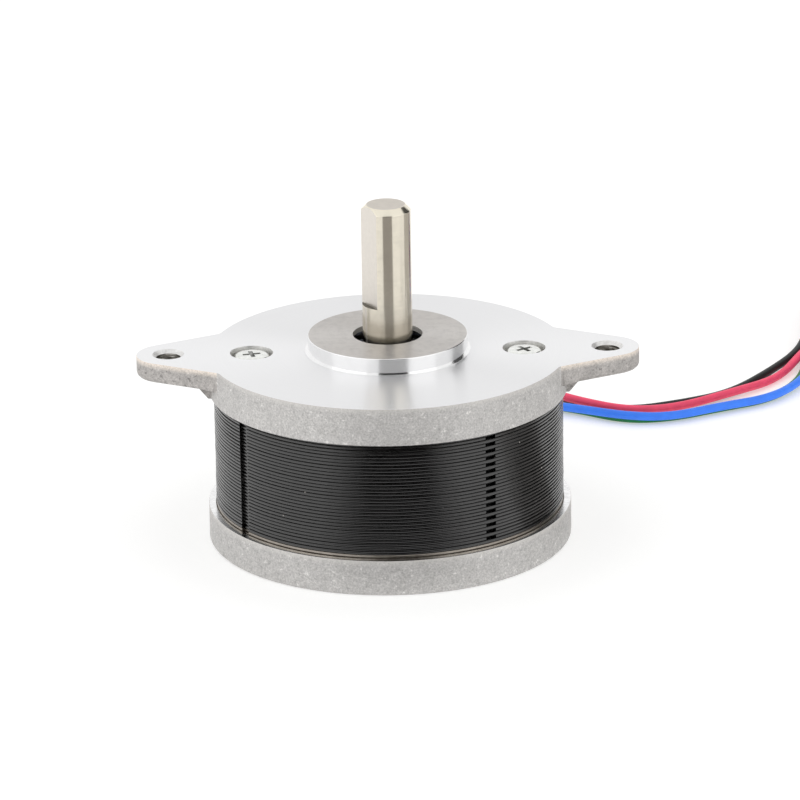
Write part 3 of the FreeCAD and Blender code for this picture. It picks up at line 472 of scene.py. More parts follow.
def run_tree(name, tree, values):
    """An object whose mesh a node tree makes from inputs given by name."""
    made = show(name, bpy.data.meshes.new(name))
    modifier = made.modifiers.new(tree.name, "NODES")
    modifier.node_group = tree
    for item in tree.interface.items_tree:
        if item.item_type == "SOCKET" and item.in_out == "INPUT":
            modifier[item.identifier] = values[item.name]
    plain_mesh(made)
    if len(made.data.polygons) == 0:
        raise RuntimeError(f"{name} is empty")
    return made


class MotorStage(bpy.types.Operator):
    """Set up the camera, the pale floor and the soft studio light"""
    bl_idname = "motor.stage"
    bl_label = "Stage"

    SENSOR_WIDTH = 36
    NEAREST_SEEN = 0.01
    SKY_STRENGTH = 0.96
    FLOOR = ((-2, -2), (2, -2), (2, 2), (-2, 2))
    FLOOR_LEVEL = -0.02 * MM
    FLOOR_COLOUR = "DCDCDB"
    FLOOR_GLOW = 0.4
    # cards that show only as reflections: the dark end of the studio round the camera, and a grey side at
    # the right; each has the angles it spans from the camera's side towards the right, two corners as
    # distance and height in metres, and its colour
    CARDS = (
        ("soft_floor_card", -32, 34, (0.023, 0.0002), (0.06, 0.0002), "EAEAEA"),
        ("grey_floor_card", -25, 28, (0.023, 0.0003), (0.06, 0.0003), "BCBCBC"),
        ("dim_floor_card", -20, 24, (0.023, 0.0004), (0.06, 0.0004), "808080"),
        ("near_floor_card", -15, 20, (0.023, 0.0005), (0.06, 0.0005), "0A0A0A"),
        ("front_floor_card", -16, 27, (0.06, 0.0002), (0.60, 0.0002), "ACA9A7"),
        ("front_card", -14, 28, (0.50, 0.0), (0.50, 0.70), "101010"),
        ("near_side_card", 64, 97, (0.022, 0.0002), (0.075, 0.0002), "D0CDCA"),
        ("dim_side_card", 70, 90, (0.022, 0.0003), (0.075, 0.0003), "B2AFAC"),
        ("side_floor_card", 90, 135, (0.075, 0.0002), (0.60, 0.0002), "C4C1BE"),
        ("side_card", 106, 140, (0.50, 0.0), (0.50, 0.45), "383838"),
    )
    # soft lights: angle from the camera's side, distance, height and width in metres, and power in watts
    BOXES = (
        ("left_box", -60, 0.55, 0.24, 0.6, 0.34),
        ("right_box", 52, 0.55, 0.24, 0.4, 0.2),
    )

    def execute(self, context):
        stage = context.scene.motor_stage
        data = bpy.data.cameras.new("photo_camera")
        data.sensor_fit = "HORIZONTAL"
        data.sensor_width = self.SENSOR_WIDTH
        data.lens = stage.lens
        data.clip_start = self.NEAREST_SEEN
        camera = show("photo_camera", data)
        turn = (Matrix.Rotation(stage.azimuth, 4, "Z")
                @ Matrix.Rotation(math.pi / 2 - stage.elevation, 4, "X")
                @ Matrix.Rotation(stage.roll, 4, "Z"))
        back = turn.to_3x3() @ Vector((0, 0, 1))
        camera.matrix_world = Matrix.Translation(Vector(stage.target) + back * stage.distance) @ turn
        context.scene.camera = camera

        context.scene.view_settings.view_transform = "Standard"
        world = context.scene.world or bpy.data.worlds.new("studio")
        context.scene.world = world
        world.use_nodes = True
        fill(world.node_tree, world.node_tree.nodes["Background"], {
            "Color": WHITE, "Strength": self.SKY_STRENGTH})

        self.panel("floor", [(x, y, self.FLOOR_LEVEL) for x, y in self.FLOOR], self.FLOOR_COLOUR,
                   self.FLOOR_GLOW)
        for name, start, end, (near, low), (far, high), code in self.CARDS:
            card = self.panel(name, [self.spot(start, near, low), self.spot(end, near, low),
                                     self.spot(end, far, high), self.spot(start, far, high)], code)
            card.visible_camera = False
            card.visible_diffuse = False
            card.visible_shadow = False
        for name, degrees, reach, height, size, power in self.BOXES:
            light = bpy.data.lights.new(name, "AREA")
            light.size = size
            light.energy = power
            lamp = show(name, light)
            lamp.location = self.spot(degrees, reach, height)
            lamp.rotation_euler = (Vector(stage.target) - lamp.location).to_track_quat("-Z", "Y").to_euler()
        return {"FINISHED"}

    def spot(self, degrees, reach, height):
        """A point of the studio, by its angle from the camera's side, distance and height."""
        turn = math.radians(degrees)
        return (reach * math.sin(turn), -reach * math.cos(turn), height)

    def panel(self, name, corners, code, glow=0.0):
        """A flat matt piece of the stage, perhaps lit a little from behind."""
        mesh = bpy.data.meshes.new(name)
        mesh.from_pydata(corners, [], [tuple(range(len(corners)))])
        made = show(name, mesh)
        finish, tree, shader = material(f"{name}_paper")
        fill(tree, shader, {
            "Base Color": rgba(linear(code)), "Roughness": 1.0, "Specular IOR Level": 0.0,
            "Emission Color": WHITE, "Emission Strength": glow})
        mesh.materials.append(finish)
        return made


# each lead's lane in the grommet, the level of its turns in the coil, its route on the floor, and the points
# of its tail inside the coil as radius and angle, all in millimetres and degrees
LEADS = {
    "black": (-1.65, 3.45, (
        (-1.65, 21.6, 2.2), (-1.19, 29.4, 1.3), (2.6, 36.6, 0.55), (9.2, 41, 0.45),
        (16.12, 40.65, 0.45), (21.14, 36.46, 0.45), (25.8, 33.39, 0.45), (32.14, 35.33, 0.54),
        (37.39, 38.48, 0.45), (41.87, 44.31, 0.63), (45.88, 50.56, 0.94), (47.16, 55.23, 1.66)),
        ((8.65, 152), (5.85, 120), (3.15, 84))),
    "red": (-0.55, 2.45, (
        (-0.55, 21.6, 2.2), (0.11, 28.6, 1.3), (3.9, 35, 0.7), (9.8, 38.9, 0.6),
        (16.27, 39.71, 1.03), (20.95, 35.52, 0.94), (26.07, 32.41, 0.84), (31.44, 33.82, 0.57),
        (37.7, 37.67, 0.91), (42.95, 42.84, 0.45), (46.03, 49.26, 1.14), (48.74, 54.97, 1.33)),
        ((8.65, 140), (6.45, 108), (4.25, 72))),
    "green": (0.55, 1.45, (
        (0.55, 21.6, 2.2), (1.51, 27.9, 1.2), (5, 33.3, 0.6), (10.2, 36.4, 0.45),
        (15.62, 36.6, 0.51), (20.59, 34.16, 0.51), (25.56, 30.67, 0.45), (30.61, 31.04, 0.45),
        (36.34, 33.98, 0.48), (41.41, 36.37, 0.45), (45.04, 41.5, 0.45), (46.64, 48.51, 0.45),
        (48.95, 54.85, 0.45)),
        ((8.65, 128), (7.05, 98), (5.35, 64))),
    "blue": (1.65, 0.45, (
        (1.65, 21.6, 2.2), (2.9, 27.2, 1.6), (6.4, 32, 1.2), (11.2, 34.5, 0.96),
        (16.09, 34.92, 1.01), (20.31, 33.06, 1.01), (25.89, 29.95, 1.09), (30.51, 30.1, 0.89),
        (36.07, 32.98, 0.95), (41.66, 35.49, 0.89), (45.58, 40.85, 1.05), (47.23, 47.63, 0.96),
        (51.28, 54.41, 0.45)),
        ((8.65, 116), (7.75, 88), (6.35, 56))),
}
LEAD_START_Y = 16.8
LEAD_EXIT = (18.8, 2.2)
COIL_MIDDLE = (61.5, 63.0)
COIL_HEIGHT = 3.95
ENTRY_RADIUS = 12.0
ENTRY_ANGLE = 190
WHOLE_TURNS = 3
POINTS_PER_TURN = 24
TIE_SQUEEZE = 0.8
TIE_REACH = 35


def coil_point(radius, degrees, level):
    """A point about the coil's middle, drawn in towards the middle of its height near the tie."""
    from_tie = abs((degrees + 180) % 360 - 180)
    near = max(0, 1 - from_tie / TIE_REACH)
    squeeze = 1 - (1 - TIE_SQUEEZE) * near * near * (3 - 2 * near)
    middle = COIL_HEIGHT / 2
    turn = math.radians(degrees)
    return Vector((COIL_MIDDLE[0] + radius * math.cos(turn), COIL_MIDDLE[1] + radius * math.sin(turn),
                   middle + (level - middle) * squeeze))


def lead_points(name):
    """A lead's whole route: out of the grommet, over the floor, round the coil and into its tail."""
    lane, level, route, tail = LEADS[name]
    points = [Vector((lane, LEAD_START_Y, LEAD_EXIT[1]))] + [Vector(spot) for spot in route]
    inner_radius, inner_angle = tail[0]
    sweep = 360 * WHOLE_TURNS + ENTRY_ANGLE - inner_angle
    steps = round(sweep / 360 * POINTS_PER_TURN)
    for step in range(steps + 1):
        share = step / steps
        radius = ENTRY_RADIUS + (inner_radius - ENTRY_RADIUS) * share
        points.append(coil_point(radius, ENTRY_ANGLE - sweep * share, level))
    floor_level = bpy.context.scene.motor_sizes.lead_diameter / 2 / MM
    for radius, degrees in tail[1:]:
        point = coil_point(radius, degrees, 0)
        points.append(Vector((point.x, point.y, floor_level)))
    return points


class MotorLeads(bpy.types.Operator):
    """Lay the four leads along their routes and into the put-away coil"""
    bl_idname = "motor.leads"
    bl_label = "Leads"

    STEPS_PER_POINT = 6
    ROUND_STEPS = 3

    def execute(self, context):
        sizes, colours = settings()
        for name in LEADS:
            points = lead_points(name)
            curve = bpy.data.curves.new(f"{name}_motor_lead", "CURVE")
            curve.dimensions = "3D"
            spline = curve.splines.new("NURBS")
            spline.points.add(len(points) - 1)
            for point, spot in zip(spline.points, points):
                point.co = (*(spot * MM), 1)
            spline.order_u = 3
            spline.use_endpoint_u = True
            spline.resolution_u = self.STEPS_PER_POINT
            curve.bevel_depth = sizes.lead_diameter / 2
            curve.bevel_resolution = self.ROUND_STEPS
            curve.use_fill_caps = True
            curve.materials.append(lead_insulation(f"{name}_pvc", getattr(colours, f"{name}_lead")))
            made = show(f"{name}_motor_lead", curve)
            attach(made, "stator")
            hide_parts(f"{name}_lead", "lead_coil")
        return {"FINISHED"}


class MotorLeadTips(bpy.types.Operator):
    """Twist the tinned strands at the leads' bare ends"""
    bl_idname = "motor.lead_tips"
    bl_label = "Lead tips"

    STRANDS = 7
    STEPS = 10
    TWIST = 200

    def execute(self, context):
        sizes = context.scene.motor_sizes
        curve = bpy.data.curves.new("tinned_strands", "CURVE")
        curve.dimensions = "3D"
        for name in LEADS:
            before, end = lead_points(name)[-2:]
            ahead = Vector((end.x - before.x, end.y - before.y, 0)).normalized()
            self.twist(curve, end * MM, ahead, sizes)
        curve.bevel_depth = sizes.strand_diameter / 2
        curve.bevel_resolution = 1
        curve.use_fill_caps = True
        drawn = show("tinned_strands", curve)
        graph = context.evaluated_depsgraph_get()
        made = show("tinned_lead_tips", bpy.data.meshes.new_from_object(drawn.evaluated_get(graph)))
        bpy.data.objects.remove(drawn)
        dress(made, [worked_metal("tinned_copper", linear("D5D3CE"), roughness=0.28, size=0.3)])
        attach(made, "stator")
        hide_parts("lead_tips")
        return {"FINISHED"}

    def twist(self, curve, start, ahead, sizes):
        """Add one lead's strands, one in the middle and the rest wound round it."""
        side = Vector((-ahead.y, ahead.x, 0))
        for strand in range(self.STRANDS):
            spline = curve.splines.new("POLY")
            spline.points.add(self.STEPS)
            around = 0 if strand == 0 else sizes.strand_diameter
            for step, point in enumerate(spline.points):
                share = step / self.STEPS
                turn = math.radians(self.TWIST * share + 360 * strand / (self.STRANDS - 1))
                spot = (start + ahead * sizes.tip_length * share + side * around * math.cos(turn)
                        + Vector((0, 0, around * math.sin(turn))))
                point.co = (*spot, 1)


class MotorCoilTie(bpy.types.Operator):
    """Finish the tie that holds the put-away coil, and the grommet at the leads' exit"""
    bl_idname = "motor.coil_tie"
    bl_label = "Coil tie and grommet"

    HEAD_DEPTH = 1.3 * MM
    TIE_EASE = 0.08 * MM
    GROMMET_EASE = 0.02 * MM

    def execute(self, context):
        head_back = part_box("coil_tie")[1].x - self.HEAD_DEPTH

        def tie_ease(middle):
            return 0 if abs(middle.x - head_back) < NEAR else self.TIE_EASE

        def grommet_ease(middle):
            return self.GROMMET_EASE

        nylon = moulded("natural_nylon", "E6E4DC", roughness=0.38, size=0.6, ior=1.53)
        rubber = moulded("black_rubber", "1E1E1F", roughness=0.6, size=0.3)
        for node, name, finish, slot, ease in (
                ("coil_tie", "nylon_coil_tie", nylon, "tie_nylon", tie_ease),
                ("lead_grommet", "rubber_lead_grommet", rubber, "grommet_rubber", grommet_ease)):
            made = eased(merged_copy(node), name, ease)
            dress(made, [finish])
            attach(made, "stator")
            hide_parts(node)
        return {"FINISHED"}


class MotorStack(bpy.types.Operator):
    """Stack the punched sheets of the stator"""
    bl_idname = "motor.stack"
    bl_label = "Stator stack"

    POLES = 8
    FIRST_POLE = 22.5
    TEETH = (-2, -1, 0, 1, 2)
    TOOTH_PITCH = 7.2
    TOOTH_HALF = 1.7
    SHOE_HALF = 16.1
    GROOVES = (33.75, 213.75)
    NOTCHES = (123.75, 303.75)
    RIM_STEP = 2.5
    DENT_CLEARANCE = 0.1
    SLOT_STEPS = 5
    SHOE_STEPS = 3
    # share of the pitch that a sheet fills, and where its rolled edge bends, as shares of height and depth
    SHEET_FILL = 0.985
    ROLL_BEND = (0.6, 0.3)
    SEED = 4

    def execute(self, context):
        sizes, colours = settings()
        low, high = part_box("stator_stack")
        pitch = (high.z - low.z) / sizes.sheet_count
        sheets = [self.sheet(f"sheet_{index}", high.x, pitch, notched)
                  for index, notched in enumerate((False, True))]
        made = run_tree("laminated_stator_stack", self.stack_tree(), {
            "Sheet": sheets[0], "Notched Sheet": sheets[1], "Count": sizes.sheet_count, "Low": low.z,
            "Pitch": pitch, "Spread": sizes.sheet_spread, "First Notched": sizes.first_notched,
            "Bare Count": sizes.bare_count, "Seed": self.SEED,
            "Varnish": varnished_sheet_edges(colours.varnish),
            "Bare": worked_metal("bare_sheet_steel", colours.bare_sheet, roughness=0.3, size=0.5),
        })
        for sheet in sheets:
            bpy.data.objects.remove(sheet)
        smooth(made)
        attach(made, "stator")
        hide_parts("stator_stack")
        return {"FINISHED"}

    def rim(self, radius, notched):
        """The outer edge of a sheet, with its grooves and notches, as points in order."""
        sizes = bpy.context.scene.motor_sizes
        half = math.degrees(math.asin(sizes.notch_width / 2 / radius))
        dents = sorted(self.GROOVES + (self.NOTCHES if notched else ()))
        points = []
        place = 0.0
        for dent in dents + [360 + half]:
            while place < dent - half - self.DENT_CLEARANCE:
                points.append((radius, place))
                place += self.RIM_STEP
            if dent < 360:
                deep = radius - (sizes.groove_depth if dent in self.GROOVES else sizes.notch_depth)
                points += [(radius, dent - half), (deep, dent - half)]
                points += [(deep, dent + half), (radius, dent + half)]
                place = dent + half + self.RIM_STEP / 2
        return points

    def bore(self):
        """The inner edge of a sheet: eight poles, each a neck and a toothed shoe."""
        sizes = bpy.context.scene.motor_sizes
        yoke_half = math.degrees(math.asin(sizes.neck_half / sizes.yoke_inner))
        shoe_neck = math.degrees(math.asin(sizes.neck_half / sizes.shoe_outer))
        slot_half = 180 / self.POLES
        slot_step = (slot_half - yoke_half) / self.SLOT_STEPS
        shoe_step = (self.SHOE_HALF - shoe_neck) / self.SHOE_STEPS
        side = [(sizes.yoke_inner, -slot_half + slot_step * step) for step in range(1, self.SLOT_STEPS + 1)]
        side += [(sizes.shoe_outer, -shoe_neck - shoe_step * step) for step in range(self.SHOE_STEPS + 1)]
        face = []
        for tooth in self.TEETH:
            middle = tooth * self.TOOTH_PITCH
            for radius, offset in ((sizes.shoe_inner, -1), (sizes.tooth_tip, -1), (sizes.tooth_tip, 1),
                                   (sizes.shoe_inner, 1)):
                face.append((radius, middle + offset * self.TOOTH_HALF))
        pole = side + face + [(radius, -degrees) for radius, degrees in reversed(side)]
        points = []
        for index in range(self.POLES):
            middle = self.FIRST_POLE + index * 360 / self.POLES
            points += [(radius, middle + degrees) for radius, degrees in pole]
        return points

    def sheet(self, name, radius, pitch, notched):
        """One punched sheet, its rim rolled in below and rubbed down above."""
        sizes = bpy.context.scene.motor_sizes
        shape = bmesh.new()

        def loop(points, level, inset=0.0):
            verts = []
            for distance, degrees in points:
                turn = math.radians(degrees)
                reach = distance - inset
                verts.append(shape.verts.new((reach * math.cos(turn), reach * math.sin(turn), level)))
            return verts

        edge = self.rim(radius, notched)
        top = pitch * self.SHEET_FILL
        bend_height, bend_depth = self.ROLL_BEND
        levels = ((0.0, sizes.sheet_roll_depth),
                  (sizes.sheet_roll * bend_height, sizes.sheet_roll_depth * bend_depth),
                  (sizes.sheet_roll, 0.0), (top - sizes.sheet_burr, 0.0), (top, sizes.sheet_burr))
        rims = [loop(edge, level, inset) for level, inset in levels]
        bores = [loop(self.bore(), level) for level in (0.0, top)]
        for lower, upper in zip(rims, rims[1:]):
            wall(shape, lower, upper)
        wall(shape, *bores, outward=False)
        for outer, inner in ((rims[0], bores[0]), (rims[-1], bores[1])):
            edges = ring_edges(shape, outer) + ring_edges(shape, inner)
            bmesh.ops.triangle_fill(shape, use_beauty=True, edges=edges)
        bmesh.ops.recalc_face_normals(shape, faces=shape.faces)
        return from_shape(name, shape)

    def stack_tree(self):
        """Nodes that lay plain and notched sheets in turn, each slightly different in diameter."""
        tree, given = new_tree("sheet_stack", {
            "Sheet": "Object", "Notched Sheet": "Object", "Count": "Int", "Low": "Float", "Pitch": "Float",
            "Spread": "Float", "First Notched": "Int", "Bare Count": "Int", "Seed": "Int",
            "Varnish": "Material", "Bare": "Material"})
        start = add(tree, "ShaderNodeCombineXYZ", {"Z": given["Low"]})
        step = add(tree, "ShaderNodeCombineXYZ", {"Z": given["Pitch"]})
        line = add(tree, "GeometryNodeMeshLine",
                   {"Count": given["Count"], "Start Location": start, "Offset": step}, mode="OFFSET")
        index = add(tree, "GeometryNodeInputIndex")
        odd = add(tree, "ShaderNodeMath", {0: index, 1: 2.0}, operation="MODULO")
        plain_low = add(tree, "ShaderNodeMath", {0: index, 1: given["First Notched"]}, operation="LESS_THAN")
        notched = add(tree, "ShaderNodeMath", {0: odd, 1: plain_low}, operation="GREATER_THAN")
        plain = add(tree, "ShaderNodeMath", {0: 1.0, 1: notched}, operation="SUBTRACT")
        least = add(tree, "ShaderNodeMath", {0: 1.0, 1: given["Spread"]}, operation="SUBTRACT")
        width = add(tree, "FunctionNodeRandomValue", {"Min": least, "Max": 1.0, "Seed": given["Seed"]},
                    data_type="FLOAT")
        scale = add(tree, "ShaderNodeCombineXYZ", {"X": width, "Y": width, "Z": 1.0})
        join = add(tree, "GeometryNodeJoinGeometry")
        for name, chosen in (("Sheet", plain), ("Notched Sheet", notched)):
            sheet = add(tree, "GeometryNodeObjectInfo", {"Object": given[name]}).outputs["Geometry"]
            laid = add(tree, "GeometryNodeInstanceOnPoints", {
                "Points": line, "Selection": chosen, "Instance": sheet, "Scale": scale})
            tree.links.new(laid.outputs["Instances"], join.inputs["Geometry"])
        solid = add(tree, "GeometryNodeRealizeInstances", {"Geometry": join})
        coated = add(tree, "GeometryNodeSetMaterial", {"Geometry": solid, "Material": given["Varnish"]})
        place = add(tree, "GeometryNodeInputPosition")
        level = add(tree, "ShaderNodeSeparateXYZ", {"Vector": place}).outputs["Z"]
        bare_top = add(tree, "ShaderNodeMath", {0: given["Pitch"], 1: given["Bare Count"], 2: given["Low"]},
                       operation="MULTIPLY_ADD")
        lowest = add(tree, "ShaderNodeMath", {0: level, 1: bare_top}, operation="LESS_THAN")
        bared = add(tree, "GeometryNodeSetMaterial", {
            "Geometry": coated, "Selection": lowest, "Material": given["Bare"]})
        add(tree, "NodeGroupOutput", {"Geometry": bared})
        return tree


class MotorFlange(bpy.types.Operator):
    """Finish the front flange: turned face and pilot, tapped ears and a blasted casting"""
    bl_idname = "motor.flange"
    bl_label = "Front flange"

    AROUND = 40
    ROWS_PER_TURN = 8
    BODY_RADIUS = 18.0 * MM
    FOOT_RADIUS = 8.3 * MM
    COUNTERBORE = 2.15 * MM
    BORE_RADIUS = 3.5 * MM
    GUSSET_END = 19.5 * MM
    GUSSET_HALF = 3.2 * MM
    # how far out the ears' lower round reaches each share of its size
    ROUND_FADE = ((17.6 * MM, 0.3), (18.2 * MM, 0.6), (19.0 * MM, 1.0))
    # widths of the eased edges of the pilot, the counterbores and the face
    PILOT_EASE = 0.02 * MM
    COUNTERBORE_EASE = 0.05 * MM
    FACE_EASE = 0.06 * MM
    # how far below the face the ears' lower edges and the threads lie
    EAR_EDGE_DEPTH = 0.5 * MM
    THREAD_START = 0.3 * MM
    # how far outside the body the ears' own finish starts
    EAR_START = 0.15 * MM
    # reach of a hole's rim, as a share of the hole's radius
    EAR_HOLE_RIM = 1.6
    THREAD_RIM = 1.02
    SCREW_RIM = 1.1
    # upward share of a normal that makes a face slope up, lie level, or end a thread
    SLOPING = 0.2
    LEVEL = 0.9
    THREAD_END = 0.95
    CASTING, FACE, PILOT_END, PILOT_SIDE, THREAD, EAR, DRILLED = range(7)

    def execute(self, context):
        sizes, colours = settings()
        ear_holes = MOUNTS["ear_holes"]["dims"]
        hole = ear_holes["hole_r_mm"] * MM
        ears = [side * ear_holes["spacing_x_mm"] / 2 * MM for side in (-1, 1)]
        screws = (-sizes.screw_offset, sizes.screw_offset)
        low, pilot_top = (corner.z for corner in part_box("front_flange"))
        shape = merged_copy("front_flange")
        self.split_flanks(shape)
        for ear in ears:
            self.tap(shape, ear, hole)
        bmesh.ops.recalc_face_normals(shape, faces=shape.faces)

        def beside(middle, places, reach):
            return any(math.hypot(middle.x - x, middle.y) < reach for x in places)

        def ease(middle):
            if beside(middle, ears, hole * self.EAR_HOLE_RIM):
                return 0
            if middle.z > FACE_LEVEL + NEAR:
                return self.PILOT_EASE
            if beside(middle, screws, self.COUNTERBORE * self.SCREW_RIM):
                return self.COUNTERBORE_EASE
            on_ear = math.hypot(middle.x, middle.y) > self.BODY_RADIUS - NEAR
            if on_ear and low + NEAR < middle.z < FACE_LEVEL - self.EAR_EDGE_DEPTH:
                on_gusset = abs(middle.x) < self.GUSSET_END and abs(middle.y) < self.GUSSET_HALF
                shares = [share for reach, share in self.ROUND_FADE if abs(middle.x) > reach]
                return 0 if on_gusset else sizes.ear_round * max(shares, default=0)
            return self.FACE_EASE if middle.z > FACE_LEVEL - NEAR else sizes.edge_ease

        made = eased(shape, "cast_front_flange", ease)
        thread_reach = hole * self.THREAD_RIM + sizes.thread_depth

        def choose(middle, normal):
            reach = math.hypot(middle.x, middle.y)
            if beside(middle, ears, thread_reach) and middle.z < FACE_LEVEL - self.THREAD_START:
                return self.THREAD if abs(normal.z) < self.THREAD_END else self.CASTING
            if middle.z < FACE_LEVEL - NEAR:
                if beside(middle, ears, hole * self.EAR_HOLE_RIM):
                    return self.DRILLED if normal.z > self.SLOPING else self.EAR
                if beside(middle, screws, self.COUNTERBORE * self.SCREW_RIM):
                    return self.DRILLED
            if normal.z > self.LEVEL and middle.z > FACE_LEVEL - NEAR:
                if middle.z > pilot_top - NEAR:
                    return self.PILOT_END
                return self.PILOT_SIDE if middle.z > FACE_LEVEL + NEAR else self.FACE
            if reach < self.BORE_RADIUS + NEAR:
                return self.DRILLED
            if reach < self.FOOT_RADIUS + NEAR and middle.z > FACE_LEVEL - NEAR:
                return self.PILOT_SIDE
            return self.EAR if reach > self.BODY_RADIUS + self.EAR_START else self.CASTING

        dress(made, [
            blasted_casting("blasted_die_casting", colours.casting, colours.rubbed, FACE_LEVEL,
                            patch=0.93, pitted=0.25),
            turned_metal("turned_aluminium_face", colours.turned_face,
                         roughness=0.31, ring=0.25, spread=0.9, haze=0.36),
            turned_metal("faced_pilot_end", colours.pilot_top,
                         roughness=0.42, ring=0.12, spread=0.8, haze=0.3, stain=0.86, uneven=0.04),
            turned_metal("turned_pilot_side", colours.pilot_side,
                         roughness=0.16, ring=0.2, spread=0.8, stain=0.97),
            # the ear holes' threads are drawn a darker grey than the drilled metal: painted shade inside the
            # holes
            worked_metal("tapped_aluminium_thread", linear("A8A59F"), roughness=0.3, size=0.3),
            blasted_casting("rubbed_ear_casting", colours.ear_casting, colours.rubbed_ear, FACE_LEVEL,
                            patch=0.85, pitted=0.7),
            worked_metal("drilled_aluminium", linear("F0EFED"), roughness=0.5, size=0.3),
        ], choose)
        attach(made, "stator")
        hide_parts("front_flange")
        return {"FINISHED"}

    def split_flanks(self, shape):
        """Add corners along the ears' lower edges, where their round fades towards the body."""
        for edge in list(shape.edges):
            start, end = sorted(edge.verts, key=lambda v: abs(v.co.x))
            spans_fade = abs(start.co.x) < self.ROUND_FADE[0][0] and abs(end.co.x) > self.ROUND_FADE[-1][0]
            if spans_fade and max(start.co.z, end.co.z) < FACE_LEVEL - self.EAR_EDGE_DEPTH:
                for reach, _ in self.ROUND_FADE:
                    share = (reach - abs(start.co.x)) / (abs(end.co.x) - abs(start.co.x))
                    _, start = bmesh.utils.edge_split(edge, start, share)

    def tap(self, shape, ear, hole):
        """Cut a thread into an ear's plain hole and join it to the hole's two rims."""
        sizes = bpy.context.scene.motor_sizes

        def on_wall(verts):
            return all(abs(math.hypot(v.co.x - ear, v.co.y) - hole) < NEAR for v in verts)

        walls = [face for face in shape.faces if on_wall(face.verts)]
        if not walls:
            raise RuntimeError("an ear's hole has no plain wall")
        levels = [v.co.z for face in walls for v in face.verts]
        low, high = min(levels), max(levels)
        bmesh.ops.delete(shape, geom=walls, context="FACES")
        rims = [edge for edge in shape.edges if edge.is_boundary and on_wall(edge.verts)]
        low += 2 * NEAR
        high -= 2 * NEAR
        count = round((high - low) / sizes.thread_pitch * self.ROWS_PER_TURN)
        rows = []
        for row in range(count + 1):
            level = low + (high - low) * row / count
            fade = min(1, (level - low) / sizes.thread_pitch, (high - level) / sizes.thread_pitch)
            ring = []
            for step in range(self.AROUND):
                phase = (level / sizes.thread_pitch - step / self.AROUND) % 1
                reach = hole + sizes.thread_depth * fade * (1 - abs(2 * phase - 1))
                turn = 2 * math.pi * step / self.AROUND
                ring.append(shape.verts.new((ear + reach * math.cos(turn), reach * math.sin(turn), level)))
            rows.append(ring)
        for lower, upper in zip(rows, rows[1:]):
            wall(shape, lower, upper, outward=False)
        middle = (low + high) / 2
        for ring, below in ((rows[0], True), (rows[-1], False)):
            edges = [edge for edge in rims if (edge.verts[0].co.z < middle) == below]
            bmesh.ops.bridge_loops(shape, edges=edges + ring_edges(shape, ring))


class MotorCover(bpy.types.Operator):
    """Finish the rear cover as a blasted casting"""
    bl_idname = "motor.cover"
    bl_label = "Rear cover"

    RIM_LEVEL = 3.65 * MM
    EASE = 0.06 * MM
    LEVEL = 0.9
    CASTING, RIM = range(2)

    def execute(self, context):
        _, colours = settings()
        made = eased(merged_copy("rear_cover"), "cast_rear_cover", lambda middle: self.EASE)

        def choose(middle, normal):
            on_rim = abs(middle.z - self.RIM_LEVEL) < NEAR and normal.z > self.LEVEL
            return self.RIM if on_rim else self.CASTING

        dress(made, [
            blasted_casting("blasted_cover_casting", colours.cover_casting, colours.rubbed, self.RIM_LEVEL,
                            patch=0.93, pitted=0.35),
            worked_metal("turned_cover_rim", colours.pilot_side, roughness=0.2, size=0.5),
        ], choose)
        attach(made, "stator")
        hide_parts("rear_cover")
        return {"FINISHED"}


class MotorShaft(bpy.types.Operator):
    """Finish the ground shaft and its milled flat"""
    bl_idname = "motor.shaft"
    bl_label = "Shaft"

    FLAT_ANGLE = 210
    EASE = 0.03 * MM
    END_DEPTH = 1 * MM
    # shares of a normal that make a face slope up, lie level, or face as the flat does
    SLOPING = 0.3
    LEVEL = 0.99
    ALIKE = 0.999
    GROUND, FLAT, END, CHAMFER, STEP = range(5)

    def execute(self, context):
        _, colours = settings()
        made = eased(merged_copy("rotor_shaft"), "ground_rotor_shaft", lambda middle: self.EASE)
        turn = math.radians(self.FLAT_ANGLE)
        facing = Vector((math.cos(turn), math.sin(turn), 0))
        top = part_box("rotor_shaft")[1].z

        def choose(middle, normal):
            if normal.z > self.SLOPING:
                if middle.z < top - self.END_DEPTH:
                    return self.STEP
                return self.END if normal.z > self.LEVEL else self.CHAMFER
            return self.FLAT if normal.dot(facing) > self.ALIKE else self.GROUND

        dress(made, [
            turned_metal("ground_shaft_steel", colours.shaft,
                         roughness=0.17, ring=0.3, spread=0.8, stain=0.92, uneven=0.03),
            worked_metal("milled_shaft_flat", colours.shaft_flat, roughness=0.34, size=0.4, uneven=0.04),
            worked_metal("faced_shaft_end", colours.shaft_end, roughness=0.34, size=0.8, uneven=0.06),
            turned_metal("turned_shaft_chamfer", colours.shaft_chamfer, roughness=0.2, ring=0.2, spread=0.7),
            # the shaft's upward steps below its end are drawn at a quarter of the shaft's colour
            worked_metal("rough_milled_step", [c * 0.25 for c in colours.shaft], roughness=0.5, size=0.3),
        ], choose)
        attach(made, "rotor")
        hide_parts("rotor_shaft")
        return {"FINISHED"}


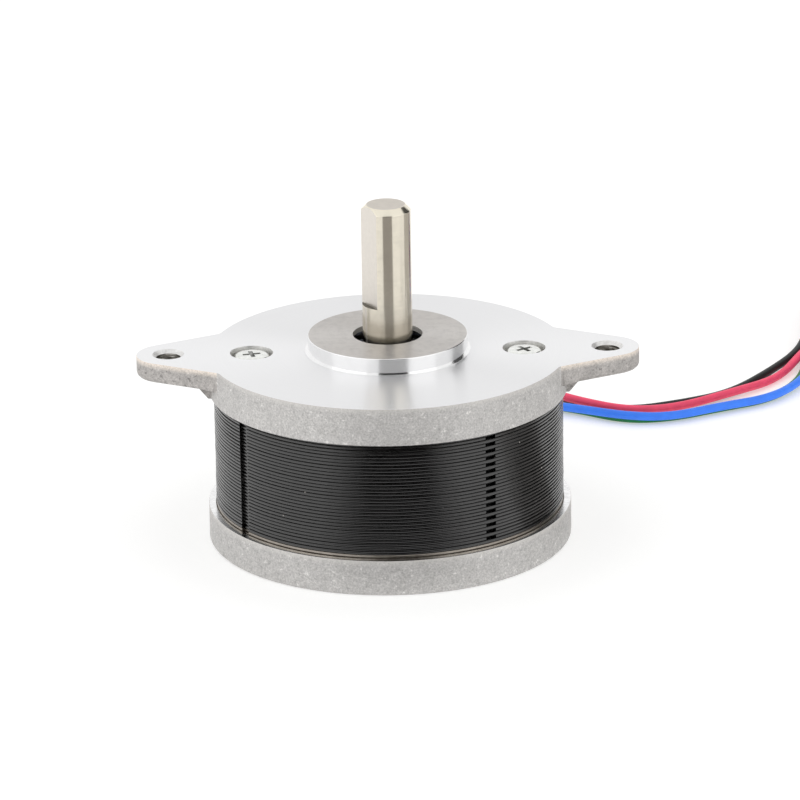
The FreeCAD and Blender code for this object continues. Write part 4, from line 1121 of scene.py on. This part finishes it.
class MotorScrews(bpy.types.Operator):
    """Make the two cross-recessed pan head screws"""
    bl_idname = "motor.screws"
    bl_label = "Assembly screws"

    AROUND = 48
    CROWN_STEPS = 5
    CROWN_SHARE = 0.45
    # the recess in millimetres: half a wing's length and width at its top and foot
    RECESS_TOP = (0.95, 0.23)
    RECESS_FOOT = (0.36, 0.12)
    RECESS_DEPTH = 0.62
    RECESS_OVERCUT = 0.05
    RECESS_EDGE = 0.02

    def execute(self, context):
        sizes, colours = settings()
        low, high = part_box("assembly_screws")
        screw = self.screw(low.z - high.z)
        made = run_tree("zinc_assembly_screws", self.screw_tree(), {
            "Screw": screw, "Offset": sizes.screw_offset, "Level": high.z, "Left Turn": sizes.left_turn,
            "Right Turn": sizes.right_turn, "Recess Reach": self.RECESS_TOP[0] * MM,
            "Plating": worked_metal("zinc_plated_steel", colours.screw, roughness=0.2, size=0.5),
            # the cross recess takes a darker copy of the plating: painted shade in the recess
            "Recess": worked_metal("soiled_screw_recess", [c * 0.55 for c in colours.screw],
                                   roughness=0.3, size=0.3, uneven=0.5),
        })
        bpy.data.objects.remove(screw)
        smooth(made)
        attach(made, "stator")
        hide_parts("assembly_screws")
        return {"FINISHED"}

    def screw(self, foot):
        """One screw with its head's top at the origin."""
        sizes = bpy.context.scene.motor_sizes
        crown = sizes.head_height * self.CROWN_SHARE
        outline = [(0.0, foot), (sizes.shank_radius, foot), (sizes.shank_radius, -sizes.head_height),
                   (sizes.head_radius, -sizes.head_height)]
        for step in range(self.CROWN_STEPS + 1):
            turn = math.pi / 2 * step / self.CROWN_STEPS
            outline.append((sizes.head_radius - crown * (1 - math.cos(turn)), crown * (math.sin(turn) - 1)))
        outline.append((0.0, 0.0))
        shape = bmesh.new()
        verts = [shape.verts.new((reach, 0, level)) for reach, level in outline]
        edges = [shape.edges.new(pair) for pair in zip(verts, verts[1:])]
        bmesh.ops.spin(shape, geom=verts + edges, axis=(0, 0, 1), cent=(0, 0, 0), angle=2 * math.pi,
                       steps=self.AROUND, use_merge=True)
        bmesh.ops.remove_doubles(shape, verts=shape.verts, dist=SAME_POINT)
        bmesh.ops.recalc_face_normals(shape, faces=shape.faces)
        made = from_shape("screw", shape)
        cutter = self.recess_cutter()
        cut = made.modifiers.new("cross_recess", "BOOLEAN")
        cut.object = cutter
        cut.solver = "EXACT"
        cut.use_self = True
        plain_mesh(made)
        bpy.data.objects.remove(cutter)
        return made

    def recess_cutter(self):
        """Two crossed tapered wings that leave the recess."""
        shape = bmesh.new()
        for quarter in (0, 90):
            turn = Matrix.Rotation(math.radians(quarter), 3, "Z")
            rings = []
            for (reach, half), level in (
                    (self.RECESS_FOOT, -self.RECESS_DEPTH), (self.RECESS_TOP, self.RECESS_OVERCUT)):
                rings.append([shape.verts.new(turn @ Vector((x * reach, y * half, level)) * MM)
                              for x, y in ((-1, -1), (1, -1), (1, 1), (-1, 1))])
            lower, upper = rings
            shape.faces.new(lower[::-1])
            shape.faces.new(upper)
            wall(shape, lower, upper)
        return from_shape("recess_cutter", shape)

    def screw_tree(self):
        """Nodes that set a screw at each side, each with its recess turned its own way."""
        tree, given = new_tree("screw_pair", {
            "Screw": "Object", "Offset": "Float", "Level": "Float", "Left Turn": "Float",
            "Right Turn": "Float", "Recess Reach": "Float", "Plating": "Material", "Recess": "Material"})
        left = add(tree, "ShaderNodeMath", {0: given["Offset"], 1: -1.0}, operation="MULTIPLY")
        start = add(tree, "ShaderNodeCombineXYZ", {"X": left, "Z": given["Level"]})
        apart = add(tree, "ShaderNodeMath", {0: given["Offset"], 1: 2.0}, operation="MULTIPLY")
        line = add(tree, "GeometryNodeMeshLine", {
            "Count": 2, "Start Location": start, "Offset": add(tree, "ShaderNodeCombineXYZ", {"X": apart})},
            mode="OFFSET")
        more = add(tree, "ShaderNodeMath", {0: given["Right Turn"], 1: given["Left Turn"]},
                   operation="SUBTRACT")
        index = add(tree, "GeometryNodeInputIndex")
        turn = add(tree, "ShaderNodeMath", {0: index, 1: more, 2: given["Left Turn"]},
                   operation="MULTIPLY_ADD")
        screw = add(tree, "GeometryNodeObjectInfo", {"Object": given["Screw"]}).outputs["Geometry"]
        laid = add(tree, "GeometryNodeInstanceOnPoints", {
            "Points": line, "Instance": screw, "Rotation": add(tree, "ShaderNodeCombineXYZ", {"Z": turn})})
        solid = add(tree, "GeometryNodeRealizeInstances", {"Geometry": laid})
        plated = add(tree, "GeometryNodeSetMaterial", {"Geometry": solid, "Material": given["Plating"]})
        place = add(tree, "GeometryNodeInputPosition")
        parts = add(tree, "ShaderNodeSeparateXYZ", {"Vector": place}).outputs
        aside = add(tree, "ShaderNodeMath", {0: parts["X"]}, operation="ABSOLUTE")
        off = add(tree, "ShaderNodeMath", {0: aside, 1: given["Offset"]}, operation="SUBTRACT")
        flat = add(tree, "ShaderNodeCombineXYZ", {"X": off, "Y": parts["Y"]})
        reach = add(tree, "ShaderNodeVectorMath", {0: flat}, operation="LENGTH").outputs["Value"]
        inside = add(tree, "ShaderNodeMath", {0: reach, 1: given["Recess Reach"]}, operation="LESS_THAN")
        rim = add(tree, "ShaderNodeMath", {0: given["Level"], 1: self.RECESS_EDGE * MM},
                  operation="SUBTRACT")
        below = add(tree, "ShaderNodeMath", {0: parts["Z"], 1: rim}, operation="LESS_THAN")
        within = add(tree, "ShaderNodeMath", {0: inside, 1: below}, operation="MULTIPLY")
        # faces inside the recess take the darker material, which is painted shade
        recess_shaded = add(tree, "GeometryNodeSetMaterial", {
            "Geometry": plated, "Selection": within, "Material": given["Recess"]})
        add(tree, "NodeGroupOutput", {"Geometry": recess_shaded})
        return tree


class MotorInside(bpy.types.Operator):
    """Give the pieces inside the housing their finishes"""
    bl_idname = "motor.inside"
    bl_label = "Inner pieces"

    def execute(self, context):
        finishes = {
            "windings": enamelled_copper(),
            "insulator": moulded("moulded_pole_resin", "E3DCC6", roughness=0.5, size=0.4),
            "_ring": turned_metal("bearing_ring_steel", linear("D4D4D6"),
                                  roughness=0.14, ring=0.3, spread=0.6),
        }
        for word, name, code, roughness, size in (
                ("balls", "polished_ball_steel", "DEDEE2", 0.06, 2.0),
                ("cage", "pressed_cage_steel", "B9B5AE", 0.34, 0.4),
                # the bearing shields are drawn dark grey
                ("shields", "blackened_shield_steel", "333232", 0.45, 0.4),
                ("cup", "ground_rotor_steel", "8F8F91", 0.36, 0.5),
                ("magnet", "nickel_plated_magnet", "A3A19C", 0.22, 1.0),
                ("spacer", "turned_brass", "C9A258", 0.26, 0.4),
                ("washer", "blued_spring_steel", "6A6E7A", 0.3, 0.6)):
            finishes[word] = worked_metal(name, linear(code), roughness, size)
        for node, made in frame["nodes"].items():
            if made.hide_render:
                continue
            found = [finish for word, finish in finishes.items() if word in node]
            if len(found) != 1:
                raise RuntimeError(f"{node} has {len(found)} finishes")
            dress(made, found)
        return {"FINISHED"}


class MotorDeclare(bpy.types.Operator):
    """Does nothing: no lead's length or what is on it is stated"""
    bl_idname = "motor.declare"
    bl_label = "Lead facts"

    def execute(self, context):
        return {"FINISHED"}


OPERATORS = (
    MotorStage, MotorLeads, MotorLeadTips, MotorCoilTie, MotorStack, MotorFlange, MotorCover, MotorShaft,
    MotorScrews, MotorInside, MotorDeclare)


class MotorPanel(bpy.types.Panel):
    """Lists the motor's pieces"""
    bl_idname = "VIEW3D_PT_motor"
    bl_label = "Motor"
    bl_space_type = "VIEW_3D"
    bl_region_type = "UI"
    bl_category = "Motor"

    def draw(self, context):
        for operator in OPERATORS:
            self.layout.operator(operator.bl_idname)


GROUPS = {"motor_sizes": MotorSizes, "motor_colours": MotorColours, "motor_stage": StageSettings}


def register():
    for name, group in GROUPS.items():
        bpy.utils.register_class(group)
        setattr(bpy.types.Scene, name, bpy.props.PointerProperty(type=group))
    for made in OPERATORS + (MotorPanel,):
        bpy.utils.register_class(made)


def unregister():
    for made in (MotorPanel,) + OPERATORS[::-1]:
        bpy.utils.unregister_class(made)
    for name, group in GROUPS.items():
        delattr(bpy.types.Scene, name)
        bpy.utils.unregister_class(group)


def main():
    register()
    bpy.ops.motor.stage()
    bpy.ops.motor.leads()
    bpy.ops.motor.lead_tips()
    bpy.ops.motor.coil_tie()
    bpy.ops.motor.stack()
    bpy.ops.motor.flange()
    bpy.ops.motor.cover()
    bpy.ops.motor.shaft()
    bpy.ops.motor.screws()
    bpy.ops.motor.inside()
    bpy.ops.motor.declare()


if __name__ == "__main__":
    main()
